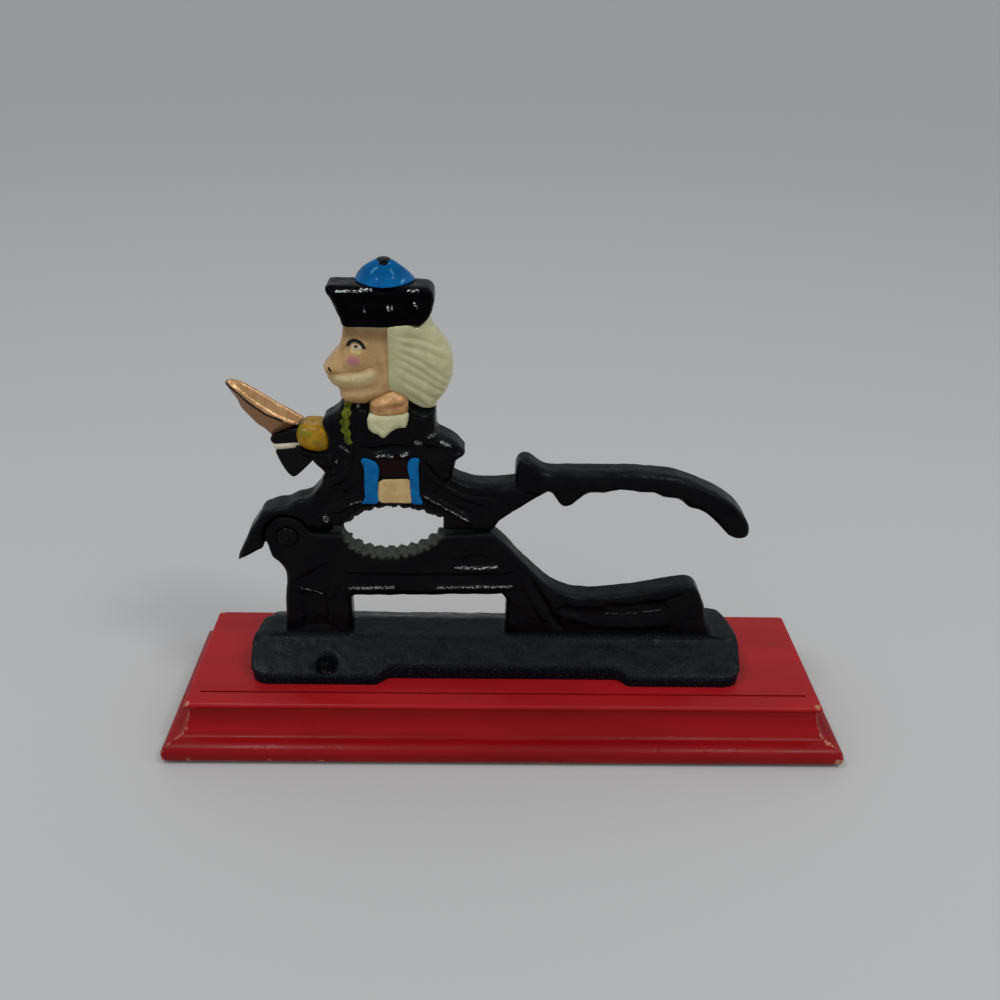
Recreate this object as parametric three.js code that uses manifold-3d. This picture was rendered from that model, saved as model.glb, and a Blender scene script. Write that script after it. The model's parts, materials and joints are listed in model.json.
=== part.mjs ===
// Lever nutcracker press: a cast frame and a cast lever with a standing soldier, on a moulded
// wooden plinth. Millimetres. X runs along the plinth, Z is up, and the soldier looks along -X.

import * as THREE from 'three';
import { mergeVertices } from 'three/addons/utils/BufferGeometryUtils.js';
import Module from 'manifold-3d';

// Wooden plinth.
const plinthLength = 254;
const plinthWidth = 76.2;
const plinthHeight = 20.5;
const topInset = 9.45;
const beadRadius = 1.25;
const plinthFootRound = 1.2;
const plinthFootRise = 3.3;
const shoulderRun = 5;
const shoulderRise = 3.5;
const grooveWidth = 1;
const grooveDepth = 0.7;
const grooveInset = 6.1;
const grooveEndInset = 3.6;
const padDiameter = 16;
const padThickness = 1;
const padInset = 14;

// Both castings.
const castThickness = 12.7;
const castRound = 1.1;
const tipRound = 0.3;
const castOffset = 3.5;
const baseLength = 188;
const baseShift = -3.7;
const pivotHeight = 55.3;
const pivotShare = 0.0904;

// Base plate of the frame.
const lobeHalfWidth = 21.5;
const waistFrontWidth = 17.6;
const waistBackWidth = 20.3;
const stepRun = 5;
const stepShares = [0.2723, 0.759];
const crestHeight = 12;
const edgeHeight = 4.2;
const hipLeftRun = 10.5;
const hipRightRun = 7.5;
const frontCorner = 6;
const backCorner = 11;

// Pivot: two cheeks of the frame's lug, with the lever's tongue between them.
const lugRadius = 8.2;
const lugPlay = 1.1;
const tongueThickness = 4.6;
const tonguePlay = 0.4;
const tongueTrim = 0.3;
const slotPlay = 0.6;
const heelReach = 14.7;
const heelDrop = 3;
const heelRest = 0.3;
const rivetRadius = 2.5;
const rivetPlay = 0.1;
const rivetHeadRadius = 4;
const rivetHeadRise = 1.9;
const counterboreRadius = 4.8;
const counterboreDepth = 0.8;
const tailLength = 21.9;
const tailAngle = THREE.MathUtils.degToRad(209.3);
const tailEaseShares = [[1, 199], [1.108, 206.3], [1.226, 209.3]];
const lugStartAngle = THREE.MathUtils.degToRad(14);
const lugEndAngle = THREE.MathUtils.degToRad(204);

// Jaws.
const shoulderLift = 1.1;
const restGap = 3.4;
const jawStartShare = 0.2005;
const jawWidth = 36.2;
const jawDepth = 9.1;
const jawRise = 9.4;
const toothRadius = 1.3;
const toothPitch = 3.05;
const toothTrim = 0.6;

// Lever.
const leverReach = 170;
const leverRise = 26.4;

// Relief on the castings.
const ridgeWidth = 1.3;
const ridgeHeight = 0.5;
const pocketDepth = 0.8;
const windowRound = 3.5;

// Soldier, measured from the pivot.
const figureOffset = 37.9;
const figureHeight = 102.8;
const torsoThickness = 15;
const torsoRound = 1.2;
const faceThickness = 14;
const faceRound = 1.3;
const moustacheThickness = 15.6;
const hairThickness = 15.8;
const hairRound = 2;
const hatThickness = 15;
const hatRound = 1.5;
const kerchiefThickness = 17;
const jabotThickness = 16.6;
const scarfRound = 0.7;
const domeWidth = 20.4;
const domeDepth = 14;
const domeRise = 8;
const buttonRadius = 2.3;
const buttonRise = 1.7;
const gloveThickness = 13.4;
const gloveRound = 2.4;
const bladeThickness = 5;
const bladeRound = 1;
const bladeRidgeRise = 0.5;
const hiltThickness = 10.4;
const hiltRound = 0.9;
const trimDepth = 0.8;
const trimRise = 0.35;

// Wood screws through the base plate.
const screwHeadRadius = 3.4;
const screwHeadRise = 2;
const screwSeatRadius = 3.9;
const screwSeatHeight = 2.6;
const screwShankRadius = 1.9;
const screwLength = 15;
const screwTip = 3;
const screwPlay = 0.3;
const screwEdge = 4.7;
const screwShares = [0.1585, 0.849];
const slotWidth = 0.9;
const slotDepth = 0.9;

// Facets, and the least distance between two points of an outline.
const leastStep = 0.1;
const roundSteps = 2;
const softSteps = 3;
const turnSteps = 28;
const arcSteps = 22;
const toothSteps = 10;
const curveSteps = 8;

// Values that follow from the sizes above.
const deckHeight = padThickness + plinthHeight;
const baseLeft = baseShift - baseLength / 2;
const pivotX = baseLeft + pivotShare * baseLength;
const recessRadius = lugRadius + lugPlay;
const shoulderHeight = pivotHeight + shoulderLift;
const underside = shoulderLift + restGap;
const slotHeight = pivotHeight - heelDrop - heelRest;
const slotReach = Math.hypot(heelReach, heelDrop) + slotPlay;
const jawStart = baseLeft + jawStartShare * baseLength;
const baseOrigin = at(baseLeft, 0);
const baseSizes = at(baseLength, pivotHeight);
const pivot = at(pivotX, pivotHeight);
const leverSizes = at(leverReach, leverRise);
const figureOrigin = at(pivotX + figureOffset, pivotHeight);
const figureSizes = at(figureHeight, figureHeight);

// Outline points, each as shares of the two sizes named beside it.
// Of baseLength and pivotHeight, from the base plate's left end.
const footShares = [[0.9771, 0.0723], [0.9771, 0.1627], [0.9601, 0.2116], [0.9452, 0.264],
  [0.9314, 0.3743], [0.9213, 0.4828], [0.9128, 0.5407], [0.9053, 0.5895], [0.8957, 0.6311],
  [0.8793, 0.6383], [0.8495, 0.6203], [0.8096, 0.5949], [0.7697, 0.5678], [0.7298, 0.5425],
  [0.6894, 0.5316], [0.659, 0.5479], [0.6383, 0.5714], [0.6176, 0.6022], [0.5968, 0.651],
  [0.5761, 0.7233], [0.5452, 0.8336], [0.5144, 0.9566], [0.4867, 1.0434]];

// Of the stretch from the lug to the jaw, and of shoulderLift above the pivot.
const leftShoulderShares = [[0.965, 0.9], [0.84, 1], [0.13, 1.3]];
// Of lugRadius sideways from the pivot, and of pivotHeight upward from the deck.
const neckShares = [[-0.8775, 0.9114], [-0.7189, 0.8626], [-0.5238, 0.8174], [-0.3287, 0.7703],
  [-0.1945, 0.7179], [-0.2067, 0.6293], [-0.3043, 0.5244], [-0.3287, 0.4087], [-0.4506, 0.2441],
  [-0.5848, 0.1627], [-0.5848, 0.0723]];
const windowShares = [[0.2074, 0.1447], [0.5202, 0.1447], [0.5202, 0.5805], [0.2074, 0.5642]];
const creaseShares = [[0.1101, 0.7505], [0.1394, 0.7703], [0.159, 0.8065], [0.1766, 0.7993],
  [0.1926, 0.7523], [0.2165, 0.7396], [0.3601, 0.7414], [0.516, 0.745]];
const beadShares = [[0.2069, 0.6184], [0.5271, 0.6311]];
const eyeShares = [[0.4165, 0.8354], [0.4372, 0.8734], [0.4617, 0.8843], [0.4862, 0.8734],
  [0.5053, 0.8391], [0.4862, 0.8011], [0.4622, 0.7902], [0.4372, 0.7993]];
const legPanelShares = [[0.1069, 0.2712], [0.1601, 0.2712], [0.1601, 0.5714], [0.15, 0.5913],
  [0.1154, 0.5913], [0.1069, 0.5678]];
const footPanelShares = [[0.6128, 0.4521], [0.6367, 0.4123], [0.6793, 0.3852], [0.7335, 0.3761],
  [0.7963, 0.387], [0.8415, 0.4159], [0.8574, 0.4629], [0.8415, 0.5063], [0.7963, 0.4919],
  [0.7303, 0.4684], [0.6686, 0.4665], [0.6367, 0.4774]];
const footRidgeShares = [[0.5457, 0.745], [0.5633, 0.6148], [0.5803, 0.4882], [0.6005, 0.3617]];
// Of jawWidth and jawDepth, from the left end of the frame's shoulders; depths are downward.
const lowerJawShares = [[1, 0], [0.94, 0.22], [0.86, 0.49], [0.76, 0.72], [0.66, 0.87], [0.505, 0.985],
  [0.355, 0.99], [0.25, 0.92], [0.15, 0.77], [0.075, 0.55], [0, 0.1]];
// Of jawWidth and jawRise, upward from the lever's underside.
const upperJawShares = [[0.011, 0.14], [0.064, 0.36], [0.148, 0.63], [0.27, 0.85], [0.42, 0.99],
  [0.571, 1], [0.72, 0.9], [0.82, 0.8], [0.92, 0.63], [0.998, 0.5]];
const jawStepShares = [[1.005, 0.42], [1, 0.075]];
// Of leverReach and leverRise, from the pivot.
const gripShares = [[0.4359, 0.2121], [0.4782, 0.4242], [0.5188, 0.6136], [0.55, 0.7386],
  [0.5612, 0.7576], [0.5741, 0.697], [0.5853, 0.5871], [0.5941, 0.5417], [0.6088, 0.5758],
  [0.6253, 0.6705], [0.6453, 0.75], [0.6771, 0.75], [0.7082, 0.7992], [0.7512, 0.7727],
  [0.7829, 0.7614], [0.8053, 0.7008], [0.8371, 0.6742], [0.8612, 0.5492], [0.8829, 0.5038],
  [0.9059, 0.4129], [0.9312, 0.2576], [0.9559, 0.0985], [0.9741, 0.0492], [0.9888, 0.053],
  [0.9971, 0.1023], [1, 0.2121], [0.9935, 0.3258], [0.9776, 0.4621], [0.9424, 0.6439],
  [0.8994, 0.7803], [0.8547, 0.8977], [0.8112, 0.9659], [0.7476, 0.9924], [0.6641, 0.9811],
  [0.5765, 0.9848], [0.55, 1.0076], [0.5306, 1.0833], [0.5129, 1.1667], [0.5012, 1.1591],
  [0.4941, 1.0833], [0.4929, 0.947], [0.4924, 0.8295]];
const thighShares = [[0.4924, 0.8295], [0.4647, 0.803], [0.4341, 0.7917], [0.4024, 0.8182],
  [0.3712, 0.8902], [0.35, 0.9659], [0.3176, 1.0227], [0.2235, 1.0227], [0.1294, 1], [0.0935, 0.947]];
const leverRibShares = [[0.2871, 0.7462], [0.3382, 0.553], [0.3929, 0.322]];
const leftRibShares = [[0.0741, 0.3712], [0.1206, 0.5], [0.1712, 0.6591]];
// Of recessRadius, from the pivot.
const tailShares = [[1.7097, 2.6882], [1.6237, 2.2258], [1.4086, 1.8925], [1.0108, 1.5161],
  [0.4731, 1.2688], [-0.2043, 1.1613], [-0.8065, 1.0968], [-1.043, 0.8925], [-1.3441, 0.3441],
  [-1.6344, -0.3118], [-1.8602, -0.7527]];
const tailStubShares = [[-1.8602, -0.7527], [-1.6882, -0.9462]];
// Of figureHeight, from the foot of the soldier's centre line at the pivot's height.
const armShares = [[-0.2159, 0.2354], [-0.249, 0.2714], [-0.2714, 0.3035], [-0.3151, 0.3327],
  [-0.3142, 0.356]];
const gloveFootShares = [[-0.3142, 0.356], [-0.2801, 0.3375], [-0.2451, 0.3268], [-0.2188, 0.3337],
  [-0.2013, 0.3609], [-0.1984, 0.4008], [-0.2062, 0.4387]];
const gloveTopShares = [[-0.2062, 0.4387], [-0.2276, 0.4572], [-0.2694, 0.463], [-0.2996, 0.4562],
  [-0.3132, 0.4154], [-0.3142, 0.356]];
const bladeShares = [[-0.3132, 0.4154], [-0.2996, 0.4562], [-0.3647, 0.4883], [-0.4212, 0.5272],
  [-0.4844, 0.5671], [-0.5155, 0.5749], [-0.533, 0.5632], [-0.5136, 0.5185], [-0.4834, 0.4718],
  [-0.4445, 0.4232], [-0.4007, 0.3765]];
const bladeRidgeShares = [[-0.5136, 0.5574], [-0.4445, 0.4971], [-0.3764, 0.4504], [-0.3278, 0.4329]];
const guardShares = [[-0.4007, 0.3765], [-0.3939, 0.3434], [-0.3142, 0.356], [-0.3132, 0.4154]];
const stripeShares = [[-0.3939, 0.3434], [-0.3891, 0.32], [-0.3151, 0.3327], [-0.3142, 0.356]];
const pommelShares = [[-0.3891, 0.32], [-0.3813, 0.2889], [-0.3657, 0.2539], [-0.3443, 0.2335],
  [-0.3171, 0.2588], [-0.2714, 0.3035], [-0.3151, 0.3327]];
const shoulderShares = [[-0.2062, 0.4387], [-0.1799, 0.4679], [-0.1536, 0.5088]];
const collarShares = [[-0.1536, 0.5088], [-0.07, 0.5088]];
const knotLeftShares = [[-0.07, 0.5088], [-0.0564, 0.4757]];
const knotTopShares = [[-0.07, 0.5088], [0.0127, 0.5467], [0.0662, 0.5224]];
const knotRightShares = [[0.0662, 0.5224], [0.072, 0.4971], [0.0545, 0.4757]];
const jabotShares = [[-0.0564, 0.4757], [-0.0622, 0.4494], [-0.0408, 0.427], [-0.0175, 0.4018],
  [0.0098, 0.4251], [0.0438, 0.4368], [0.0623, 0.4562], [0.0545, 0.4757]];
const hairHemShares = [[0.0662, 0.5224], [0.0944, 0.5049], [0.1139, 0.4951], [0.1401, 0.4922],
  [0.1615, 0.501]];
const sleeveShares = [[0.1615, 0.501], [0.1615, 0.416], [0.1684, 0.402], [0.1866, 0.395],
  [0.2082, 0.3858], [0.236, 0.3615], [0.2572, 0.336], [0.2607, 0.324], [0.2519, 0.3132],
  [0.2354, 0.2996], [0.2237, 0.2762], [0.2179, 0.25]];
const torsoHemShares = [[0.2179, 0.25], [0.1781, 0.2169], [0.1294, 0.1663], [0.1002, 0.1391],
  [-0.104, 0.1391], [-0.1429, 0.1761], [-0.1819, 0.2305], [-0.1984, 0.2792], [-0.2023, 0.3375]];
const waistShares = [[0.2179, 0.25], [0.1635, 0.2014], [-0.1673, 0.1819], [-0.2159, 0.2354]];
const faceProfileShares = [[-0.1342, 0.7753], [-0.14, 0.7422], [-0.1517, 0.7033], [-0.1799, 0.6702],
  [-0.2062, 0.6391], [-0.2003, 0.6158], [-0.1799, 0.5982], [-0.1692, 0.5768], [-0.1566, 0.5574],
  [-0.1556, 0.534], [-0.1381, 0.5088]];
const hairShares = [[0.1615, 0.501], [0.1683, 0.5185], [0.1888, 0.5438], [0.2063, 0.573],
  [0.2179, 0.6099], [0.2199, 0.6488], [0.2141, 0.6877], [0.1995, 0.7208], [0.1771, 0.75],
  [0.1537, 0.7782], [0.1421, 0.8103]];
const hatShares = [[0.1421, 0.8103], [0.1547, 0.8385], [0.1615, 0.8677], [0.1596, 0.894],
  [0.146, 0.9105], [0.1265, 0.9144], [-0.1575, 0.9144], [-0.177, 0.9086], [-0.1819, 0.892],
  [-0.1741, 0.8658], [-0.1566, 0.822], [-0.1342, 0.7753]];
const hatBrimShares = [[-0.1342, 0.7753], [0.0127, 0.7753], [0.1148, 0.787], [0.1421, 0.8103]];
const partingShares = [[0.0127, 0.7753], [0.0127, 0.5467]];
const moustacheShares = [[-0.1857, 0.6089], [-0.1634, 0.6255], [-0.1264, 0.6274], [-0.0807, 0.6362],
  [-0.0505, 0.6527], [-0.0369, 0.6459], [-0.0291, 0.6274], [-0.034, 0.6109], [-0.0486, 0.5944],
  [-0.0826, 0.5837], [-0.1215, 0.5827], [-0.1537, 0.5837], [-0.1712, 0.5866]];
const braidShares = [[-0.142, 0.4893], [-0.1245, 0.4893], [-0.1186, 0.4737], [-0.1274, 0.4582],
  [-0.1177, 0.4407], [-0.1264, 0.4232], [-0.1167, 0.4018], [-0.1245, 0.3804], [-0.1361, 0.3804],
  [-0.1468, 0.3979], [-0.1381, 0.4193], [-0.1478, 0.4387], [-0.1391, 0.4562], [-0.1478, 0.4737]];
const panelShares = [[-0.0408, 0.2519], [0.0672, 0.2558], [0.0701, 0.2014], [0.0691, 0.1595],
  [-0.0505, 0.1595], [-0.0466, 0.2062]];
const leftStripeShares = [[-0.0836, 0.3142], [-0.0642, 0.323], [-0.0418, 0.3045], [-0.0398, 0.2597],
  [-0.0505, 0.2111], [-0.0544, 0.1556], [-0.0924, 0.1556], [-0.0836, 0.2033], [-0.0807, 0.2607]];
const rightStripeShares = [[0.0691, 0.3259], [0.0856, 0.3346], [0.1032, 0.3259], [0.1012, 0.2636],
  [0.1061, 0.2014], [0.1041, 0.1595], [0.074, 0.1595], [0.073, 0.2636]];
const badgeShares = [[-0.0564, 0.8434], [0.0234, 0.8531], [0.108, 0.8589]];
// Of domeWidth and domeRise, from the middle of the hat's top.
const domeShares = [[0, 0], [0.5, 0], [0.46, 0.1], [0.4, 0.3], [0.32, 0.55], [0.22, 0.8], [0.15, 0.93],
  [0, 0.93]];

const wasm = await Module();
wasm.setup();

function at(x = 0, z = 0) {
  return new THREE.Vector2(x, z);
}

// A closed solid from a three.js geometry, without the flat triangles a lathe leaves on its axis.
function toSolid(geometry) {
  const bare = geometry.clone();
  bare.deleteAttribute('normal');
  bare.deleteAttribute('uv');
  const merged = mergeVertices(bare);
  const corners = Array.from(merged.index.array);
  const triangles = [];
  for (let i = 0; i < corners.length; i += 3) {
    const [a, b, c] = corners.slice(i, i + 3);
    if (a !== b && b !== c && c !== a) {
      triangles.push(a, b, c);
    }
  }
  return new wasm.Manifold(new wasm.Mesh({
    numProp: 3,
    vertProperties: new Float32Array(merged.attributes.position.array),
    triVerts: new Uint32Array(triangles),
  }));
}

// A three.js geometry from a closed solid.
function toGeometry(solid) {
  const mesh = solid.getMesh();
  const geometry = new THREE.BufferGeometry();
  const positions = new Float32Array(mesh.vertProperties);
  geometry.setAttribute('position', new THREE.BufferAttribute(positions, mesh.numProp));
  geometry.setIndex(new THREE.BufferAttribute(new Uint32Array(mesh.triVerts), 1));
  const flat = geometry.toNonIndexed();
  flat.computeVertexNormals();
  return flat;
}

function joined(solids) {
  return solids.reduce((whole, solid) => whole.add(solid));
}

function along(origin, sizes, shares) {
  return shares.map(([u, w]) => at(origin.x + u * sizes.x, origin.y + w * sizes.y));
}

function figure(shares) {
  return along(figureOrigin, figureSizes, shares);
}

function smooth(points, stepsEach) {
  return new THREE.SplineCurve(points).getPoints((points.length - 1) * stepsEach);
}

function ring(centre, radius, from, to, steps) {
  return Array.from({ length: steps + 1 }, (_, i) => {
    const angle = from + (to - from) * i / steps;
    return at(centre.x + radius * Math.cos(angle), centre.y + radius * Math.sin(angle));
  });
}

// Drops points that repeat the one before them.
function distinct(points) {
  const before = (i) => points[(i + points.length - 1) % points.length];
  return points.filter((point, i) => point.distanceTo(before(i)) > leastStep);
}

// An upright plate standing on the deck: the outline lies in X and Z, the thickness is centred on
// the castings' middle plane, and every edge is rounded.
function plate(points, thickness, round, steps = roundSteps, holes = []) {
  const shape = new THREE.Shape(distinct(points));
  shape.holes = holes.map((hole) => new THREE.Path(distinct(hole)));
  const straight = thickness - 2 * round;
  const geometry = new THREE.ExtrudeGeometry(shape, {
    depth: straight,
    bevelEnabled: round > 0,
    bevelThickness: round,
    bevelSize: round,
    bevelOffset: -round,
    bevelSegments: steps,
  });
  geometry.translate(0, 0, -straight / 2);
  geometry.rotateX(Math.PI / 2);
  geometry.translate(0, castOffset, deckHeight);
  return toSolid(geometry);
}

// The same, with square edges.
function prism(points, thickness) {
  return plate(points, thickness, 0);
}

// A square-edged slab on one face: side is -1 for the front and 1 for the back.
function slab(points, near, far, side) {
  return prism(points, far - near).translate([0, side * (near + far) / 2, 0]);
}

// A closed strip of even width along a line of points, with rounded ends.
function strip(points, width) {
  const curve = points.length > 2 ? smooth(points, 3) : points;
  const left = [];
  const right = [];
  curve.forEach((point, i) => {
    const before = curve[Math.max(i - 1, 0)];
    const after = curve[Math.min(i + 1, curve.length - 1)];
    const normal = after.clone().sub(before).normalize().rotateAround(at(), Math.PI / 2);
    left.push(point.clone().addScaledVector(normal, width / 2));
    right.unshift(point.clone().addScaledVector(normal, -width / 2));
  });
  return right.reverse().concat(left.reverse());
}

// A round bar lying across the castings, through a point of the outline.
function bar(centre, radius, thickness, steps = turnSteps) {
  const geometry = new THREE.CylinderGeometry(radius, radius, thickness, steps);
  geometry.translate(centre.x, castOffset, centre.y + deckHeight);
  return toSolid(geometry);
}

// The row of teeth along a jaw.
function teeth(curve) {
  const count = Math.round(curve.getLength() / toothPitch);
  const row = curve.getSpacedPoints(count).slice(1, count);
  return joined(row.map((point) => bar(point, toothRadius, castThickness - toothTrim, toothSteps)));
}

// A ridge or a pocket of the same outline on the front and on the back.
function raised(points) {
  return prism(points, castThickness + 2 * ridgeHeight);
}

function pockets(points) {
  const half = castThickness / 2;
  return slab(points, half - pocketDepth, half + pocketDepth, -1)
    .add(slab(points, half - pocketDepth, half + pocketDepth, 1));
}

// Moulding profile of the plinth: how far in from the foot, and how high.
function mouldingProfile() {
  const footCentre = at(plinthFootRound, plinthFootRound);
  const foot = ring(footCentre, plinthFootRound, -Math.PI / 2, -Math.PI, softSteps);
  const shoulder = ring(at(), 1, Math.PI, Math.PI / 2, curveSteps).map((point) =>
    at(shoulderRun * (1 + point.x), plinthFootRise + shoulderRise * point.y));
  const coveFoot = plinthFootRise + shoulderRise;
  const coveTop = plinthHeight - 2 * beadRadius;
  const coveRun = topInset - shoulderRun;
  const cove = ring(at(), 1, -Math.PI / 2, 0, curveSteps).map((point) =>
    at(shoulderRun + coveRun * point.x, coveTop + (coveTop - coveFoot) * point.y));
  const beadCentre = at(topInset, plinthHeight - beadRadius);
  const bead = ring(beadCentre, beadRadius, -Math.PI / 2, -Math.PI * 3 / 2, curveSteps);
  return foot.concat(shoulder, cove.slice(1), bead.slice(1));
}

// The profile carried round the four mitred sides.
function plinthBody() {
  const rings = mouldingProfile();
  const positions = [];
  const indices = [];
  const corners = [[-1, -1], [1, -1], [1, 1], [-1, 1]];
  rings.forEach((point) => corners.forEach(([sx, sy]) => {
    const x = sx * (plinthLength / 2 - point.x);
    const y = sy * (plinthWidth / 2 - point.x);
    positions.push(x, y, padThickness + point.y);
  }));
  const count = corners.length;
  for (let i = 0; i + 1 < rings.length; i += 1) {
    for (let j = 0; j < count; j += 1) {
      const a = i * count + j;
      const b = i * count + (j + 1) % count;
      indices.push(a, b, b + count, a, b + count, a + count);
    }
  }
  const last = (rings.length - 1) * count;
  indices.push(2, 1, 0, 3, 2, 0, last, last + 1, last + 2, last, last + 2, last + 3);
  const geometry = new THREE.BufferGeometry();
  geometry.setAttribute('position', new THREE.Float32BufferAttribute(positions, 3));
  geometry.setIndex(indices);
  return toSolid(geometry);
}

// A vertical turned solid from a half profile of radii and heights.
function turned(profile, x, y, z) {
  const geometry = new THREE.LatheGeometry(profile, turnSteps);
  geometry.rotateX(Math.PI / 2);
  geometry.translate(x, y, z);
  return toSolid(geometry);
}

function screwPlaces() {
  return screwShares.map((share, i) => {
    const out = i === 0 ? screwEdge - lobeHalfWidth : lobeHalfWidth - screwEdge;
    return at(baseLeft + share * baseLength, castOffset + out);
  });
}

// An upright round peg from one height to another, measured from the deck.
function peg(place, radius, low, high) {
  const geometry = new THREE.CylinderGeometry(radius, radius, high - low, turnSteps);
  geometry.rotateX(Math.PI / 2);
  geometry.translate(place.x, place.y, deckHeight + (low + high) / 2);
  return toSolid(geometry);
}

function screwHole(place) {
  return peg(place, screwSeatRadius, screwSeatHeight, 2 * crestHeight)
    .add(peg(place, screwShankRadius + screwPlay, -edgeHeight, crestHeight));
}

function screw(place) {
  const profile = [
    at(0, -screwLength),
    at(screwShankRadius, screwTip - screwLength),
    at(screwShankRadius, 0),
    at(screwHeadRadius, 0),
    ...ring(at(), 1, Math.PI / curveSteps, Math.PI / 2, softSteps).map((point) =>
      at(screwHeadRadius * point.x, screwHeadRise * point.y)),
  ];
  const z = deckHeight + screwSeatHeight;
  const body = turned(profile, place.x, place.y, z);
  const cuts = [0, Math.PI / 2].map((angle) => {
    const cut = new THREE.BoxGeometry(screwHeadRadius, slotWidth, 2 * slotDepth);
    cut.rotateZ(angle + Math.PI / curveSteps);
    cut.translate(place.x, place.y, z + screwHeadRise);
    return toSolid(cut);
  });
  return body.subtract(joined(cuts));
}

function plinth() {
  const top = plinthWidth / 2 - topInset;
  const length = plinthLength / 2 - topInset - grooveEndInset;
  const radius = grooveWidth / 2;
  const outline = ring(at(-length, 0), radius, Math.PI / 2, Math.PI * 3 / 2, curveSteps)
    .concat(ring(at(length, 0), radius, -Math.PI / 2, Math.PI / 2, curveSteps));
  const shape = new THREE.Shape(outline);
  const groove = new THREE.ExtrudeGeometry(shape, { depth: 2 * grooveDepth, bevelEnabled: false });
  groove.translate(0, grooveInset - top, deckHeight - grooveDepth);
  const depth = screwLength - screwSeatHeight + screwPlay;
  const bores = screwPlaces().map((place) =>
    peg(place, screwShankRadius + screwPlay, -depth, edgeHeight));
  return plinthBody().subtract(toSolid(groove)).subtract(joined(bores));
}

function pad(sx, sy) {
  const geometry = new THREE.CylinderGeometry(padDiameter / 2, padDiameter / 2, padThickness, turnSteps);
  geometry.rotateX(Math.PI / 2);
  const x = sx * (plinthLength / 2 - padInset);
  const y = sy * (plinthWidth / 2 - padInset);
  geometry.translate(x, y, padThickness / 2);
  return toSolid(geometry);
}

// Plan of the base plate: two wide lobes joined by a waist.
function basePlan() {
  const [firstStep, secondStep] = stepShares.map((share) => baseLeft + share * baseLength);
  const right = baseLeft + baseLength;
  const step = (x, from, to) => Array.from({ length: curveSteps + 1 }, (_, i) => {
    const share = i / curveSteps;
    const rise = (1 - Math.cos(Math.PI * share)) / 2;
    return at(x + share * stepRun - stepRun / 2, from + (to - from) * rise);
  });
  const corner = (x, y, radius, from) =>
    ring(at(x, y), radius, from, from + Math.PI / 2, curveSteps);
  const front = -lobeHalfWidth;
  const back = lobeHalfWidth;
  return [
    ...corner(baseLeft + frontCorner, front + frontCorner, frontCorner, Math.PI),
    ...step(firstStep, front, -waistFrontWidth),
    ...step(secondStep, -waistFrontWidth, front),
    ...corner(right - frontCorner, front + frontCorner, frontCorner, -Math.PI / 2),
    ...corner(right - backCorner, back - backCorner, backCorner, 0),
    ...step(secondStep, waistBackWidth, back).reverse(),
    ...step(firstStep, back, waistBackWidth).reverse(),
    ...corner(baseLeft + backCorner, back - backCorner, backCorner, Math.PI / 2),
  ];
}

// The base plate: its plan, cut by a ridged section and by hipped ends.
function basePlate() {
  const outline = new THREE.Shape(distinct(basePlan()));
  const plan = new THREE.ExtrudeGeometry(outline, { depth: crestHeight, bevelEnabled: false });
  plan.translate(0, castOffset, deckHeight);
  const half = castThickness / 2;
  const section = new THREE.ExtrudeGeometry(new THREE.Shape([
    at(-lobeHalfWidth, 0), at(lobeHalfWidth, 0),
    at(lobeHalfWidth, edgeHeight), at(half, crestHeight),
    at(-half, crestHeight), at(-lobeHalfWidth, edgeHeight),
  ]), { depth: baseLength, bevelEnabled: false });
  section.rotateX(Math.PI / 2);
  section.rotateZ(Math.PI / 2);
  section.translate(baseLeft, castOffset, deckHeight);
  const right = baseLeft + baseLength;
  const hips = prism([
    at(baseLeft, 0), at(right, 0), at(right, edgeHeight),
    at(right - hipRightRun, crestHeight),
    at(baseLeft + hipLeftRun, crestHeight),
    at(baseLeft, edgeHeight),
  ], 2 * lobeHalfWidth);
  return toSolid(plan).intersect(toSolid(section)).intersect(hips);
}

function lowerJaw() {
  return along(at(jawStart, shoulderHeight), at(jawWidth, -jawDepth), lowerJawShares);
}

function jaw(shares) {
  return along(at(jawStart, pivotHeight + underside), at(jawWidth, jawRise), shares);
}

function upperJaw() {
  return jaw(upperJawShares);
}

function frameOutline() {
  const base = (shares) => along(baseOrigin, baseSizes, shares);
  const foot = base(footShares);
  const lugEdge = pivotX + lugRadius;
  const shoulderSizes = at(jawStart - lugEdge, shoulderLift);
  const leftShoulder = along(at(lugEdge, pivotHeight), shoulderSizes, leftShoulderShares);
  const neck = along(at(pivotX, 0), at(lugRadius, pivotHeight), neckShares);
  return [
    ...foot.slice(0, 2),
    ...smooth(foot.slice(1), 3),
    ...smooth(lowerJaw(), 3),
    ...leftShoulder,
    ...ring(pivot, lugRadius, lugStartAngle, lugEndAngle, arcSteps),
    ...smooth(neck.slice(0, -1), 2),
    neck.at(-1),
  ];
}

function windowOutline() {
  const corners = along(baseOrigin, baseSizes, windowShares);
  return corners.flatMap((corner, i) => {
    const before = corners[(i + corners.length - 1) % corners.length].clone().sub(corner).normalize();
    const after = corners[(i + 1) % corners.length].clone().sub(corner).normalize();
    const centre = corner.clone().addScaledVector(before.add(after), windowRound);
    const start = (i + 2) * Math.PI / 2;
    return ring(centre, windowRound, start, start + Math.PI / 2, curveSteps);
  });
}

// The slot between the lug's cheeks, with a step that the lever's heel comes to rest on.
function lugSlot() {
  const width = tongueThickness + 2 * tonguePlay;
  const top = shoulderHeight + lugRadius;
  const step = [
    at(pivotX, slotHeight),
    at(pivotX + slotReach, slotHeight),
    at(pivotX + slotReach, top),
    at(pivotX, top),
  ];
  return bar(pivot, recessRadius + slotPlay, width).add(prism(step, width));
}

function rivetBore() {
  const faces = castThickness / 2 - counterboreDepth;
  const reach = 2 * counterboreDepth;
  return bar(pivot, rivetRadius + rivetPlay, castThickness + reach)
    .add(bar(pivot, counterboreRadius, reach).translate([0, faces + reach / 2, 0]))
    .add(bar(pivot, counterboreRadius, reach).translate([0, -faces - reach / 2, 0]));
}

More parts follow.
